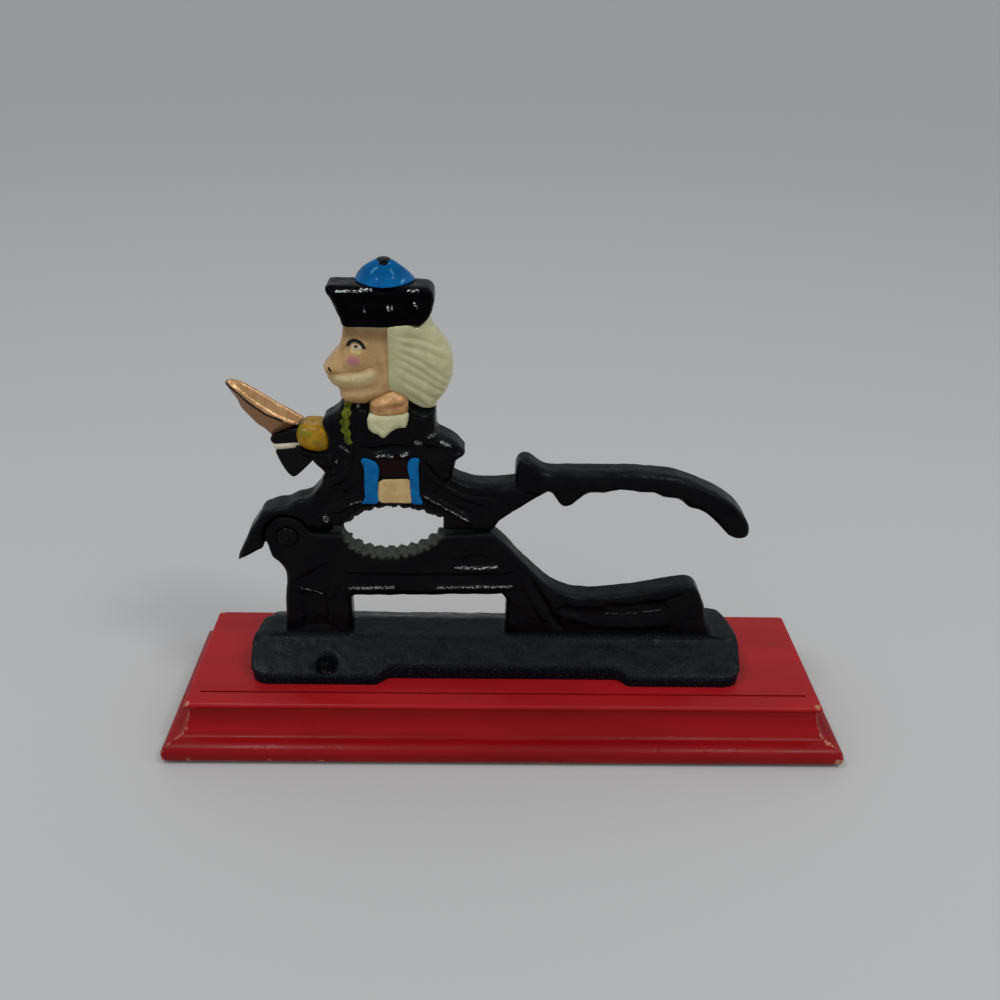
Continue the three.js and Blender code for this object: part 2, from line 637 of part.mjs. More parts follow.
function frameCasting() {
  const base = (shares) => along(baseOrigin, baseSizes, shares);
  const upright = plate(frameOutline(), castThickness, castRound, roundSteps, [windowOutline()]);
  const ridges = [creaseShares, beadShares, footRidgeShares].map((shares) =>
    raised(strip(base(shares), ridgeWidth)));
  const sunk = [eyeShares, legPanelShares, footPanelShares].map((shares) => pockets(base(shares)));
  return upright
    .add(joined(ridges))
    .subtract(joined(sunk))
    .add(teeth(new THREE.SplineCurve(lowerJaw())))
    .subtract(lugSlot())
    .subtract(rivetBore())
    .add(basePlate())
    .subtract(joined(screwPlaces().map(screwHole)));
}

// The rivet: a shank with a low domed head on each face of the lug.
function pivotRivet() {
  const seat = castThickness / 2 - counterboreDepth;
  const head = ring(at(), 1, 0, Math.PI / 2, softSteps).map((point) =>
    at(rivetHeadRadius * point.x, rivetHeadRise * point.y));
  const upper = head.map((point) => at(point.x, seat + point.y));
  const lower = head.map((point) => at(point.x, -seat - point.y)).reverse();
  const profile = [...lower, at(rivetRadius, -seat), at(rivetRadius, seat), ...upper];
  const geometry = new THREE.LatheGeometry(profile, turnSteps);
  geometry.translate(pivotX, castOffset, deckHeight + pivotHeight);
  return toSolid(geometry);
}

function tailEase() {
  return tailEaseShares.map(([share, degrees]) => at(share * recessRadius, 0)
    .rotateAround(at(), THREE.MathUtils.degToRad(degrees)).add(pivot));
}

// The pointed end of the tail, a little thinner than the rest of it.
function tailTip() {
  const tip = at(tailLength, 0).rotateAround(at(), tailAngle).add(pivot);
  const root = tailEase().at(-1);
  const [side] = along(pivot, at(recessRadius, recessRadius), tailStubShares);
  return plate([tip, root, side], castThickness - castRound, tipRound);
}

function leverOutline() {
  const lever = (shares) => along(pivot, leverSizes, shares);
  const start = Math.sqrt(recessRadius ** 2 - underside ** 2);
  const tail = along(pivot, at(recessRadius, recessRadius), tailShares);
  return [
    pivot,
    at(pivotX + start, pivotHeight + underside),
    at(jawStart, pivotHeight + underside),
    ...smooth(upperJaw(), 3),
    ...jaw(jawStepShares),
    ...smooth(lever(gripShares), 2),
    ...smooth(lever(thighShares), 2),
    ...smooth(tail, 2),
    ...along(pivot, at(recessRadius, recessRadius), tailStubShares).slice(1),
    ...tailEase().reverse(),
  ];
}

// The soldier's body with both arms, as thick as the lever it is cast in one with.
function torso() {
  return plate([
    ...figure(waistShares),
    ...figure(armShares).slice(1),
    ...figure(gloveTopShares).reverse().slice(1),
    ...figure(shoulderShares).slice(1),
    ...figure(collarShares).slice(1),
    ...figure(knotTopShares).slice(1),
    ...figure(hairHemShares).slice(1),
    ...figure(sleeveShares).slice(1, -1),
  ].reverse(), castThickness, castRound);
}

// The coat, which stands a little proud of the arms.
function coat() {
  return plate([
    ...figure(torsoHemShares),
    ...figure(shoulderShares),
    ...figure(collarShares).slice(1),
    ...figure(knotTopShares).slice(1),
    ...figure(hairHemShares).slice(1),
    ...figure(sleeveShares).slice(1),
  ].reverse(), torsoThickness, torsoRound);
}

function gloveOutline() {
  return [...figure(gloveFootShares), ...figure(gloveTopShares).slice(1, -1)];
}

function kerchiefOutline() {
  return [...figure(knotLeftShares).reverse(), ...figure(knotTopShares).slice(1),
    ...figure(knotRightShares).slice(1)];
}

const trims = {
  braid: braidShares,
  trouser_panel: panelShares,
  stripe_left: leftStripeShares,
  stripe_right: rightStripeShares,
};

function trim(shares, side) {
  const half = torsoThickness / 2;
  return slab(figure(shares), half - trimDepth, half + trimRise, side);
}

function trimSeats() {
  const half = torsoThickness / 2;
  return joined(Object.values(trims).flatMap((shares) => [-1, 1].map((side) =>
    slab(figure(shares), half - trimDepth, half + trimDepth, side))));
}

// The lever: tail, tongue on the pivot, upper jaw and handle, with the soldier's body and coat.
function leverCasting() {
  const reach = 2 * castThickness;
  const inner = tongueThickness / 2;
  const recess = (side) => bar(pivot, recessRadius, reach, 2 * arcSteps)
    .translate([0, side * (inner + reach / 2), 0]);
  const heel = [
    pivot, at(pivotX, pivotHeight - heelDrop),
    at(pivotX + heelReach, pivotHeight - heelDrop),
    at(pivotX + heelReach, pivotHeight + underside + heelDrop),
  ];
  const inlays = [gloveOutline(), kerchiefOutline(), figure(jabotShares)].map((points) =>
    prism(points, reach));
  const ribs = [leverRibShares, leftRibShares].map((shares) =>
    raised(strip(along(pivot, leverSizes, shares), ridgeWidth)));
  return plate(leverOutline(), castThickness, castRound)
    .add(tailTip())
    .add(torso())
    .add(joined(ribs))
    .add(coat())
    .subtract(joined(inlays))
    .subtract(trimSeats())
    .add(teeth(new THREE.SplineCurve(upperJaw())))
    .subtract(recess(-1))
    .subtract(recess(1))
    .add(bar(pivot, recessRadius - tongueTrim, tongueThickness, 2 * arcSteps))
    .add(prism(heel, tongueThickness))
    .subtract(bar(pivot, rivetRadius + rivetPlay, reach));
}

// The head's whole silhouette; face, hair and hat are regions of it.
function headOutline() {
  return [
    ...figure(collarShares).slice(1),
    ...figure(knotTopShares).slice(1),
    ...figure(hairHemShares).slice(1),
    ...figure(hairShares).slice(1),
    ...figure(hatShares).slice(1),
    ...figure(faceProfileShares).slice(1),
  ];
}

function headRegion(points, thickness, round) {
  return plate(headOutline(), thickness, round).intersect(prism(points, 2 * thickness));
}

function faceRegion() {
  return [
    ...figure(faceProfileShares),
    ...figure(collarShares).slice(1),
    ...figure(partingShares).reverse(),
  ];
}

function hairRegion() {
  return [
    ...figure(hatBrimShares).slice(1),
    ...figure(hairShares).reverse().slice(1),
    ...figure(hairHemShares).reverse().slice(1),
    ...figure(partingShares).slice(1),
  ];
}

function face() {
  return headRegion(faceRegion(), faceThickness, faceRound)
    .subtract(prism(figure(moustacheShares), 2 * faceThickness));
}

function moustache() {
  return plate(figure(moustacheShares), moustacheThickness, scarfRound);
}

function hair() {
  return headRegion(hairRegion(), hairThickness, hairRound);
}

function hat() {
  const badges = figure(badgeShares).map((point) =>
    bar(point, ridgeWidth, hatThickness + 2 * ridgeHeight, toothSteps));
  const region = [...figure(hatShares), ...figure(hatBrimShares).slice(1, -1)];
  return headRegion(region, hatThickness, hatRound).add(joined(badges));
}

function hatTop() {
  const top = figure(hatShares)[6];
  return deckHeight + top.y;
}

function hatCrown() {
  const profile = domeShares.map(([u, w]) => at(u * domeWidth, w * domeRise));
  const geometry = new THREE.LatheGeometry(profile, turnSteps);
  geometry.rotateX(Math.PI / 2);
  geometry.scale(1, domeDepth / domeWidth, 1);
  geometry.translate(figureOrigin.x, castOffset, hatTop());
  return toSolid(geometry);
}

function hatButton() {
  const profile = [
    at(), at(buttonRadius * domeDepth / domeWidth, 0),
    ...ring(at(), 1, Math.PI / curveSteps, Math.PI / 2, softSteps).map((point) =>
      at(buttonRadius * point.x, buttonRise * point.y)),
  ];
  const [, topShare] = domeShares.at(-1);
  return turned(profile, figureOrigin.x, castOffset, hatTop() + topShare * domeRise);
}

function kerchief() {
  return plate(kerchiefOutline(), kerchiefThickness, scarfRound);
}

function jabot() {
  return plate(figure(jabotShares), jabotThickness, scarfRound);
}

function glove() {
  return plate(gloveOutline(), gloveThickness, gloveRound, softSteps);
}

function hilt(shares) {
  return plate(figure(shares), hiltThickness, hiltRound);
}

function blade() {
  const ridge = prism(strip(figure(bladeRidgeShares), ridgeWidth), bladeThickness + 2 * bladeRidgeRise);
  return plate(figure(bladeShares), bladeThickness, bladeRound).add(ridge);
}

const parts = new THREE.Group();

function addPart(name, solid, colour, roughness, metalness) {
  const color = new THREE.Color(...colour);
  const material = new THREE.MeshStandardMaterial({ color, roughness, metalness });
  const mesh = new THREE.Mesh(toGeometry(solid), material);
  mesh.name = name;
  parts.add(mesh);
}

const red = [0.29, 0.012, 0.018];
const enamel = [0.012, 0.014, 0.017];
const felt = [0.03, 0.05, 0.03];
const rivetBlack = [0.02, 0.021, 0.024];
const screwBlack = [0.018, 0.017, 0.017];
const skin = [0.6, 0.36, 0.21];
const cream = [0.62, 0.6, 0.38];
const hairCream = [0.55, 0.54, 0.32];
const copper = [0.5, 0.22, 0.1];
const yellow = [0.45, 0.25, 0.02];
const blue = [0.004, 0.16, 0.5];
const olive = [0.09, 0.12, 0.01];
const khaki = [0.58, 0.4, 0.19];

addPart('plinth', plinth(), red, 0.32, 0);
[[-1, -1], [1, -1], [1, 1], [-1, 1]].forEach(([sx, sy], i) => {
  addPart('pad_' + (i + 1), pad(sx, sy), felt, 0.95, 0);
});
addPart('frame_casting', frameCasting(), enamel, 0.4, 0.3);
addPart('pivot_rivet', pivotRivet(), rivetBlack, 0.35, 0.6);
screwPlaces().forEach((place, i) => {
  addPart(['base_screw_front', 'base_screw_back'][i], screw(place), screwBlack, 0.45, 0.7);
});
addPart('lever_casting', leverCasting(), enamel, 0.38, 0.3);
addPart('figure_hat', hat(), enamel, 0.3, 0);
addPart('hat_crown', hatCrown(), blue, 0.25, 0);
addPart('hat_button', hatButton(), enamel, 0.3, 0);
addPart('figure_face', face(), skin, 0.4, 0);
addPart('figure_moustache', moustache(), cream, 0.4, 0);
addPart('figure_hair', hair(), hairCream, 0.38, 0);
addPart('figure_kerchief', kerchief(), copper, 0.35, 0.5);
addPart('figure_jabot', jabot(), cream, 0.4, 0);
Object.keys(trims).forEach((name, i) => {
  const colour = [olive, khaki, blue, blue][i];
  addPart(name + '_front', trim(trims[name], -1), colour, 0.35, 0);
  addPart(name + '_back', trim(trims[name], 1), colour, 0.35, 0);
});
addPart('figure_glove', glove(), yellow, 0.4, 0.1);
addPart('sabre_blade', blade(), copper, 0.35, 0.5);
addPart('sabre_guard', hilt(guardShares), enamel, 0.35, 0);
addPart('sabre_stripe', hilt(stripeShares), cream, 0.4, 0);
addPart('sabre_pommel', hilt(pommelShares), enamel, 0.35, 0);

export default parts;
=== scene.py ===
"""Lever nutcracker press: a cast frame, a cast lever with a painted toy soldier, and a red wooden plinth.

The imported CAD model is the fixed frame. Each casting and each painted region is a fine copy of its CAD
node, pushed into its cast form; the plinth and the rivet are built from their own sizes.
"""

import json
import logging
import math
from dataclasses import dataclass, field
from enum import Enum

import bmesh
import bpy
import numpy as np
from mathutils import Matrix, Vector, noise
from mathutils.bvhtree import BVHTree
from mathutils.kdtree import KDTree

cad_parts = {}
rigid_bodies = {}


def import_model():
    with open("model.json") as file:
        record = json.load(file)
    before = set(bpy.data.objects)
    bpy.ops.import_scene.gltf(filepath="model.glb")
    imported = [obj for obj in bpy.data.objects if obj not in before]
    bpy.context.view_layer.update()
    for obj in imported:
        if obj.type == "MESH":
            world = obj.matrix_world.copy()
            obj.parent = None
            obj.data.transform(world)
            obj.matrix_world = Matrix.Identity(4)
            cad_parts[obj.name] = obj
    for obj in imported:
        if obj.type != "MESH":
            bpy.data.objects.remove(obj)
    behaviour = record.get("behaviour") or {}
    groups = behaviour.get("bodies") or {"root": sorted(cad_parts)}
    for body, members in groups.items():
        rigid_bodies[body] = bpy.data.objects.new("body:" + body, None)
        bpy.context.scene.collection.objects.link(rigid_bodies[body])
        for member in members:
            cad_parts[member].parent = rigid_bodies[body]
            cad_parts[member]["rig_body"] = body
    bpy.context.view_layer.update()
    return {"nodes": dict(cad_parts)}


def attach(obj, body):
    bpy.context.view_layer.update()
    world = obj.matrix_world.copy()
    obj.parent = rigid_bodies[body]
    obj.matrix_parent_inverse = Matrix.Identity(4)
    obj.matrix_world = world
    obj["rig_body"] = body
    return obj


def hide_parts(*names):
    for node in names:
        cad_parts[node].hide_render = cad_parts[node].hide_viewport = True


log = logging.getLogger("nutcracker")

# One millimetre in metres. Then, in millimetres: the plinth's top above the table, the castings' middle
# plane behind the plinth's own, and the pivot on the castings' plan.
MM = 0.001
DECK = 21.5
MIDDLE = 3.5
PIVOT = (-80.7048, 55.3)

ARC_STEPS = 8
TRIMS = ("braid", "trouser_panel", "stripe_left", "stripe_right")
HEAD = ("figure_hat", "figure_face", "figure_moustache", "figure_hair")

Point = tuple[float, float]
Line = tuple[Point, ...]
Colour = tuple[int, int, int]
Nodes = dict[str, bpy.types.Object]


class Body(Enum):
    """The CAD bodies that pieces ride on."""

    BASE = "base"
    LEVER = "lever"


def linear(colour: Colour) -> tuple[float, float, float, float]:
    """Turn a display colour into the linear one that shaders take.

    Args:
        colour: Display red, green and blue, 0 to 255 each.

    Returns:
        The linear colour with an alpha of 1.
    """
    shares = [value / 255 for value in colour]
    red, green, blue = (share / 12.92 if share <= 0.04045 else ((share + 0.055) / 1.055) ** 2.4
                        for share in shares)
    return red, green, blue, 1.0


def eased(values: np.ndarray, low: float, high: float) -> np.ndarray:
    """Rise smoothly from 0 at low to 1 at high.

    Args:
        values: The numbers to ease.
        low: Where the rise begins.
        high: Where it ends.

    Returns:
        One share for each number.
    """
    share = np.clip((values - low) / (high - low), 0, 1)
    return share * share * (3 - 2 * share)


def gap_to_line(plan: np.ndarray, line: Line) -> np.ndarray:
    """Measure how far points of the plan lie from a bent line.

    Args:
        plan: Points as x and z, one row each.
        line: The corners of the line.

    Returns:
        The distance of each point.
    """
    nearest = np.full(len(plan), 1e9)
    if len(line) == 1:
        return np.hypot(*(plan - np.array(line[0])).T)
    for start, end in zip(line, line[1:]):
        origin = np.array(start)
        run = np.array(end) - origin
        share = np.clip(((plan - origin) @ run) / (run @ run), 0, 1)
        offset = plan - origin - share[:, None] * run
        nearest = np.minimum(nearest, np.hypot(offset[:, 0], offset[:, 1]))
    return nearest


def inside(plan: np.ndarray, outline: Line) -> np.ndarray:
    """Say which points of the plan lie inside a closed outline.

    Args:
        plan: Points as x and z, one row each.
        outline: The corners of the outline, in order.

    Returns:
        True for each point inside.
    """
    found = np.zeros(len(plan), bool)
    x, z = plan[:, 0], plan[:, 1]
    for (ax, az), (bx, bz) in zip(outline, outline[1:] + outline[:1]):
        if az == bz:
            continue
        crosses = (az > z) != (bz > z)
        found ^= crosses & (x < (bx - ax) * (z - az) / (bz - az) + ax)
    return found


def rounded(outline: Line, passes: int = 2) -> Line:
    """Cut the corners off a closed outline.

    Args:
        outline: The corners of the outline, in order.
        passes: How many times, each of which doubles the corners.

    Returns:
        The softer outline.
    """
    for _ in range(passes):
        softer = []
        for (ax, az), (bx, bz) in zip(outline, outline[1:] + outline[:1]):
            softer += [(0.75 * ax + 0.25 * bx, 0.75 * az + 0.25 * bz),
                       (0.25 * ax + 0.75 * bx, 0.25 * az + 0.75 * bz)]
        outline = tuple(softer)
    return outline


@dataclass(frozen=True)
class Stroke:
    """A ridge, or a groove where height is negative, along a line on a casting's two faces."""

    line: Line
    reach: float
    height: float

    def lift(self, plan: np.ndarray) -> np.ndarray:
        """Return how far the stroke pushes each point of the plan outwards."""
        share = np.clip(gap_to_line(plan, self.line) / self.reach, 0, 1)
        return self.height * (1 - share * share) ** 2


@dataclass(frozen=True)
class Panel:
    """A raised patch, or a sunk one where height is negative, inside an outline."""

    outline: Line
    edge: float
    height: float

    def lift(self, plan: np.ndarray) -> np.ndarray:
        """Push points outwards inside the outline.

        Args:
            plan: Points as x and z, one row each.

        Returns:
            How far each point moves.
        """
        depth = gap_to_line(plan, self.outline + self.outline[:1])
        signed = np.where(inside(plan, self.outline), depth, -depth)
        return self.height * eased(signed, -self.edge / 2, self.edge / 2)


@dataclass(frozen=True)
class Nudge:
    """A push along the plan on the part of a casting near a line."""

    line: Line
    reach: float
    shift: Point

    def move(self, plan: np.ndarray) -> np.ndarray:
        """Return how far the push moves each point of the plan, as x and z."""
        share = np.clip(gap_to_line(plan, self.line) / self.reach, 0, 1)
        return ((1 - share * share) ** 2)[:, None] * np.array(self.shift)


class Silhouette:
    """The outline that one or more CAD nodes show from the front."""

    def __init__(self, nodes: list[bpy.types.Object], step: float = 0.5) -> None:
        """Trace the outline by looking through the solids on a grid.

        Args:
            nodes: The CAD nodes that make the outline together.
            step: Spacing of the grid in millimetres.
        """
        shape = bmesh.new()
        for node in nodes:
            shape.from_mesh(node.data)
        self.tree = BVHTree.FromBMesh(shape)
        corners = np.array([vert.co for vert in shape.verts])
        shape.free()
        low = corners.min(0) / MM - 2 * step
        high = corners.max(0) / MM + 2 * step
        xs = np.arange(low[0], high[0], step)
        zs = np.arange(low[2], high[2], step)
        solid = np.array([[self.hit(x, z) for z in zs] for x in xs])
        edge = []
        for axis, run in ((0, (step, 0)), (1, (0, step))):
            for i, k in np.argwhere(np.diff(solid.astype(int), axis=axis) != 0):
                edge.append(self.crossing(xs[i], zs[k], run, bool(solid[i, k])))
        self.edge = KDTree(len(edge))
        for i, (x, z) in enumerate(edge):
            self.edge.insert((x, 0, z), i)
        self.edge.balance()

    def hit(self, x: float, z: float) -> bool:
        """Say whether a solid stands at this place of the plan."""
        origin = Vector((x * MM, -1.0, z * MM))
        return self.tree.ray_cast(origin, Vector((0, 1, 0)))[0] is not None

    def crossing(self, x: float, z: float, run: Point, solid: bool) -> Point:
        """Find where the outline crosses one step of the grid.

        Args:
            x: Start of the step.
            z: Height of its start.
            run: The step.
            solid: Whether its start is inside.

        Returns:
            The crossing, as x and height.
        """
        low, high = 0.0, 1.0
        for _ in range(3):
            half = (low + high) / 2
            if self.hit(x + run[0] * half, z + run[1] * half) == solid:
                low = half
            else:
                high = half
        share = (low + high) / 2
        return x + run[0] * share, z + run[1] * share

    def distance(self, plan: np.ndarray) -> np.ndarray:
        """Return how far each point of the plan, measured from the deck, lies from the outline."""
        return np.array([self.edge.find((x, 0, z + DECK))[2] for x, z in plan])


class Clay:
    """A fine closed copy of CAD nodes that is pushed into shape point by point.

    Its points are in millimetres on the castings' own plan: x along the plinth, y out from the
    castings' middle plane, and z up from the deck.
    """

    def __init__(self, name: str, shape: bmesh.types.BMesh, voxel: float) -> None:
        """Remesh a closed shape finely.

        Args:
            name: The new piece's name.
            shape: The shape in place, in metres, which is used up.
            voxel: Edge of one cell in millimetres.
        """
        rough = bpy.data.meshes.new(name + "_rough")
        shape.to_mesh(rough)
        shape.free()
        holder = bpy.data.objects.new(name + "_rough", rough)
        bpy.context.scene.collection.objects.link(holder)
        cells = holder.modifiers.new("Cells", "REMESH")
        cells.mode = "VOXEL"
        cells.voxel_size = voxel * MM
        graph = bpy.context.evaluated_depsgraph_get()
        self.mesh = bpy.data.meshes.new_from_object(holder.evaluated_get(graph))
        self.mesh.name = name
        bpy.data.objects.remove(holder)
        bpy.data.meshes.remove(rough)
        self.name = name
        self.voxel = voxel
        self.mesh.materials.clear()
        count = len(self.mesh.vertices)
        flat = np.empty(count * 3, np.float32)
        self.mesh.vertices.foreach_get("co", flat)
        self.points = flat.reshape(-1, 3).astype(float) / MM - np.array((0, MIDDLE, DECK))
        pairs = np.empty(len(self.mesh.edges) * 2, np.int32)
        self.mesh.edges.foreach_get("vertices", pairs)
        self.pairs = pairs.reshape(-1, 2)
        self.degree = np.bincount(self.pairs.ravel(), minlength=count)[:, None]

    @classmethod
    def copied(cls, name: str, nodes: list[bpy.types.Object], voxel: float) -> "Clay":
        """Make clay of copies of CAD nodes.

        Args:
            name: The new piece's name.
            nodes: The CAD nodes to copy and join.
            voxel: Edge of one cell in millimetres.

        Returns:
            The clay.
        """
        shape = bmesh.new()
        for node in nodes:
            shape.from_mesh(node.data)
        bmesh.ops.remove_doubles(shape, verts=shape.verts, dist=2e-6)
        return cls(name, shape, voxel)

    @classmethod
    def cut(cls, name: str, outline: Line, front: float, back: float, voxel: float) -> "Clay":
        """Make clay of an outline of the plan that is carried from front to back.

        Args:
            name: The new piece's name.
            outline: The corners of the outline, in order.
            front: Where it starts, in millimetres from the castings' middle plane.
            back: Where it ends.
            voxel: Edge of one cell in millimetres.

        Returns:
            The clay.
        """
        shape = bmesh.new()
        corners = [shape.verts.new((x * MM, (MIDDLE + front) * MM, (DECK + z) * MM)) for x, z in outline]
        face = shape.faces.new(corners)
        grown = bmesh.ops.extrude_face_region(shape, geom=[face], use_keep_orig=True)
        verts = [item for item in grown["geom"] if isinstance(item, bmesh.types.BMVert)]
        bmesh.ops.translate(shape, verts=verts, vec=(0, (back - front) * MM, 0))
        bmesh.ops.recalc_face_normals(shape, faces=shape.faces)
        bmesh.ops.triangulate(shape, faces=shape.faces)
        return cls(name, shape, voxel)

    @property
    def plan(self) -> np.ndarray:
        """Return x and z of every point."""
        return self.points[:, [0, 2]]

    def write(self) -> None:
        """Put the points back into the mesh."""
        placed = (self.points + np.array((0, MIDDLE, DECK))) * MM
        self.mesh.vertices.foreach_set("co", placed.astype(np.float32).ravel())
        self.mesh.update()

    def normals(self) -> np.ndarray:
        """Find the way the surface faces.

        Returns:
            The direction at every point.
        """
        self.write()
        flat = np.empty(len(self.points) * 3, np.float32)
        self.mesh.vertex_normals.foreach_get("vector", flat)
        return flat.reshape(-1, 3).astype(float)

    def smooth(self, passes: int, share: float = 0.5, where: np.ndarray | None = None) -> None:
        """Move each point towards the middle of its neighbours.

        Args:
            passes: How many times.
            share: How far each time, 1 being all the way.
            where: A share for every point that holds some of them back.
        """
        hold = 1.0 if where is None else where[:, None]
        first, second = self.pairs.T
        for _ in range(passes):
            total = np.zeros_like(self.points)
            for axis in range(3):
                values = self.points[:, axis]
                total[:, axis] += np.bincount(first, values[second], len(values))
                total[:, axis] += np.bincount(second, values[first], len(values))
            self.points += share * hold * (total / self.degree - self.points)

    def swell(self, amount: float, where: np.ndarray | None = None) -> None:
        """Grow the piece a little on every side, so that it closes on its neighbours.

        Args:
            amount: How far.
            where: A share for every point that holds some of them back.
        """
        hold = 1.0 if where is None else where[:, None]
        self.points += amount * hold * self.normals()

    def crown(self, gap: np.ndarray, reach: np.ndarray | float, least: np.ndarray | float,
              keep: float = 0.0, where: np.ndarray | None = None) -> None:
        """Thin the piece towards its outline, as a rounded casting is.

        Args:
            gap: Each point's distance from the outline.
            reach: How far in the rounding goes.
            least: The share of the thickness that is left at the outline.
            keep: Half the width of the middle layer that doesn't move.
            where: A share for every point that holds some of them back.
        """
        share = np.clip(gap / reach, 0, 1)
        scale = least + (1 - least) * np.sqrt(1 - (1 - share) ** 2)
        depth = np.abs(self.points[:, 1])
        moves = eased(depth, keep, keep + 2) if keep else 1.0
        if where is not None:
            moves = moves * where
        self.points[:, 1] *= 1 + (scale - 1) * moves

    def carry(self, axis: int, start: float, end: float, amount: float,
              where: np.ndarray | float = 1.0) -> None:
        """Push the part of the piece beyond a level further along an axis.

        Args:
            axis: The axis, 0 to 2.
            start: The level where the push begins.
            end: The level from where on it is full.
            amount: How far.
            where: A share for every point that holds some of them back.
        """
        self.points[:, axis] += amount * eased(self.points[:, axis], start, end) * where

    def nudge(self, nudges: tuple[Nudge, ...]) -> None:
        """Push parts of the piece along the plan.

        Args:
            nudges: The pushes, all measured on the plan as it is before the first.
        """
        plan = self.plan
        for item in nudges:
            self.points[:, [0, 2]] += item.move(plan)

    def thicken(self, amount: float, where: np.ndarray) -> None:
        """Push the piece's narrow sides outwards along the plan.

        Args:
            amount: How far.
            where: A share for every point that holds some of them back.
        """
        self.points[:, [0, 2]] += amount * where[:, None] * self.normals()[:, [0, 2]]

    def relief(self, forms: tuple[Stroke | Panel, ...], keep: float = 0.0,
               where: np.ndarray | None = None) -> None:
        """Push the front and back faces out and in.

        Args:
            forms: The strokes and panels to add.
            keep: Half the width of the middle layer that doesn't move.
            where: A share for every point that holds some of them back.
        """
        plan = self.plan
        total = np.zeros(len(plan))
        for form in forms:
            total += form.lift(plan)
        facing = eased(np.abs(self.normals()[:, 1]), 0.2, 0.7)
        if keep:
            facing *= eased(np.abs(self.points[:, 1]), keep, keep + 1)
        if where is not None:
            facing *= where
        self.points[:, 1] += np.sign(self.points[:, 1]) * total * facing

    def cast_skin(self, height: float, size: float, where: np.ndarray | None = None) -> None:
        """Give the surface the low waves of a sand casting.

        Args:
            height: How far the waves stand out.
            size: Their length.
            where: A share for every point that holds some of them back.
        """
        waves = np.array([
            noise.noise(Vector(point) / size) + 0.5 * noise.noise(Vector(point) * 2.3 / size)
            for point in self.points
        ])
        if where is not None:
            waves *= where
        self.points += height * waves[:, None] * self.normals()

    def paint(self, name: str, values: np.ndarray) -> None:
        """Keep one number for every point, for the material to read."""
        attribute = self.mesh.attributes.new(name, "FLOAT", "POINT")
        attribute.data.foreach_set("value", values.astype(np.float32))

    def mark(self, name: str, strokes: tuple[Stroke | Panel, ...]) -> None:
        """Paint strokes on, each as strong as its height and no stronger than 2.

        Args:
            name: The painted number's name.
            strokes: Where it goes.
        """
        total = np.zeros(len(self.points))
        for stroke in strokes:
            total = np.maximum(total, stroke.lift(self.plan))
        self.paint(name, np.clip(total, 0, 2))

    def finished(self, material: bpy.types.Material, body: Body, slot: str,
                 *replaced: str) -> bpy.types.Object:
        """Make the scene's piece.

        Args:
            material: The piece's finish.
            body: The CAD body that it rides on.
            slot: The record's material slot.
            replaced: The CAD nodes that it stands for.

        Returns:
            The finished object.
        """
        self.write()
        self.mesh.polygons.foreach_set("use_smooth", [True] * len(self.mesh.polygons))
        return placed(self.name, self.mesh, material, body, slot, *replaced)


@dataclass(frozen=True)
class Teeth:
    """A jaw's row of teeth, moved from the even bars of the CAD to the coarse teeth of the real casting."""

    knots: Line
    tips: tuple[float, ...]
    pitch: float
    height: float = 1.2
    roundness: float = 1.3
    step: float = 0.3
    curve_steps: int = 8
    reach: float = 2.6
    fade: float = 0.9
    body: float = 3.0

    def curve(self) -> np.ndarray:
        """Draw the smooth curve through the jaw's knots.

        Returns:
            Its points, in fine steps.
        """
        knots = np.array(self.knots)
        ends = np.vstack((knots[:1], knots, knots[-1:]))
        share = np.linspace(0, 1, self.curve_steps, endpoint=False)[:, None]
        parts = []
        for before, start, end, after in zip(ends, ends[1:], ends[2:], ends[3:]):
            leave, arrive = (end - before) / 2, (after - start) / 2
            parts.append((2 * start - 2 * end + leave + arrive) * share ** 3
                         + (3 * end - 3 * start - 2 * leave - arrive) * share ** 2 + leave * share + start)
        return np.vstack((*parts, knots[-1:]))

    def recut(self, clay: Clay) -> None:
        """Push a casting's jaw from its old teeth to the new ones.

        Args:
            clay: The casting.
        """
        curve = self.curve()
        runs = np.diff(curve, axis=0)
        lengths = np.hypot(*runs.T)
        starts = np.concatenate(((0.0,), np.cumsum(lengths)))
        total = starts[-1]
        plan = clay.plan
        nearest = np.full(len(plan), 1e9)
        along, depth = np.zeros(len(plan)), np.zeros(len(plan))
        outward = np.zeros((len(plan), 2))
        for origin, run, length, start in zip(curve, runs, lengths, starts):
            offset = plan - origin
            share = np.clip(offset @ run / length ** 2, 0, 1)
            gap = np.hypot(*(offset - share[:, None] * run).T)
            closer = gap < nearest
            nearest[closer] = gap[closer]
            along[closer] = start + share[closer] * length
            side = run[1] * offset[:, 0] - run[0] * offset[:, 1]
            depth[closer] = (np.sign(side) * gap)[closer]
            outward[closer] = np.array((run[1], -run[0])) / length
        slots = np.arange(0, total + self.step, self.step)
        surface = np.zeros(len(slots))
        row = (depth > 0) & (nearest < self.reach)
        np.maximum.at(surface, (along[row] / self.step).astype(int), depth[row])
        old = np.interp(along, slots + self.step / 2, surface)
        order = np.argsort(curve[:, 0])
        fresh = np.zeros(len(plan))
        for tip in self.tips:
            off = np.abs(along - np.interp(tip, curve[order, 0], starts[order])) / self.pitch
            fresh = np.maximum(fresh, np.cos(np.pi * np.clip(off, 0, 0.5)) ** self.roundness)
        share = np.clip((depth + self.body) / (self.body + old), 0, 1)
        ends = eased(along, 0, self.fade) * eased(total - along, 0, self.fade)
        ends *= nearest < self.body + 0.5
        moved = (self.height * fresh - old) * share ** 1.5 * ends
        clay.points[:, [0, 2]] += moved[:, None] * outward


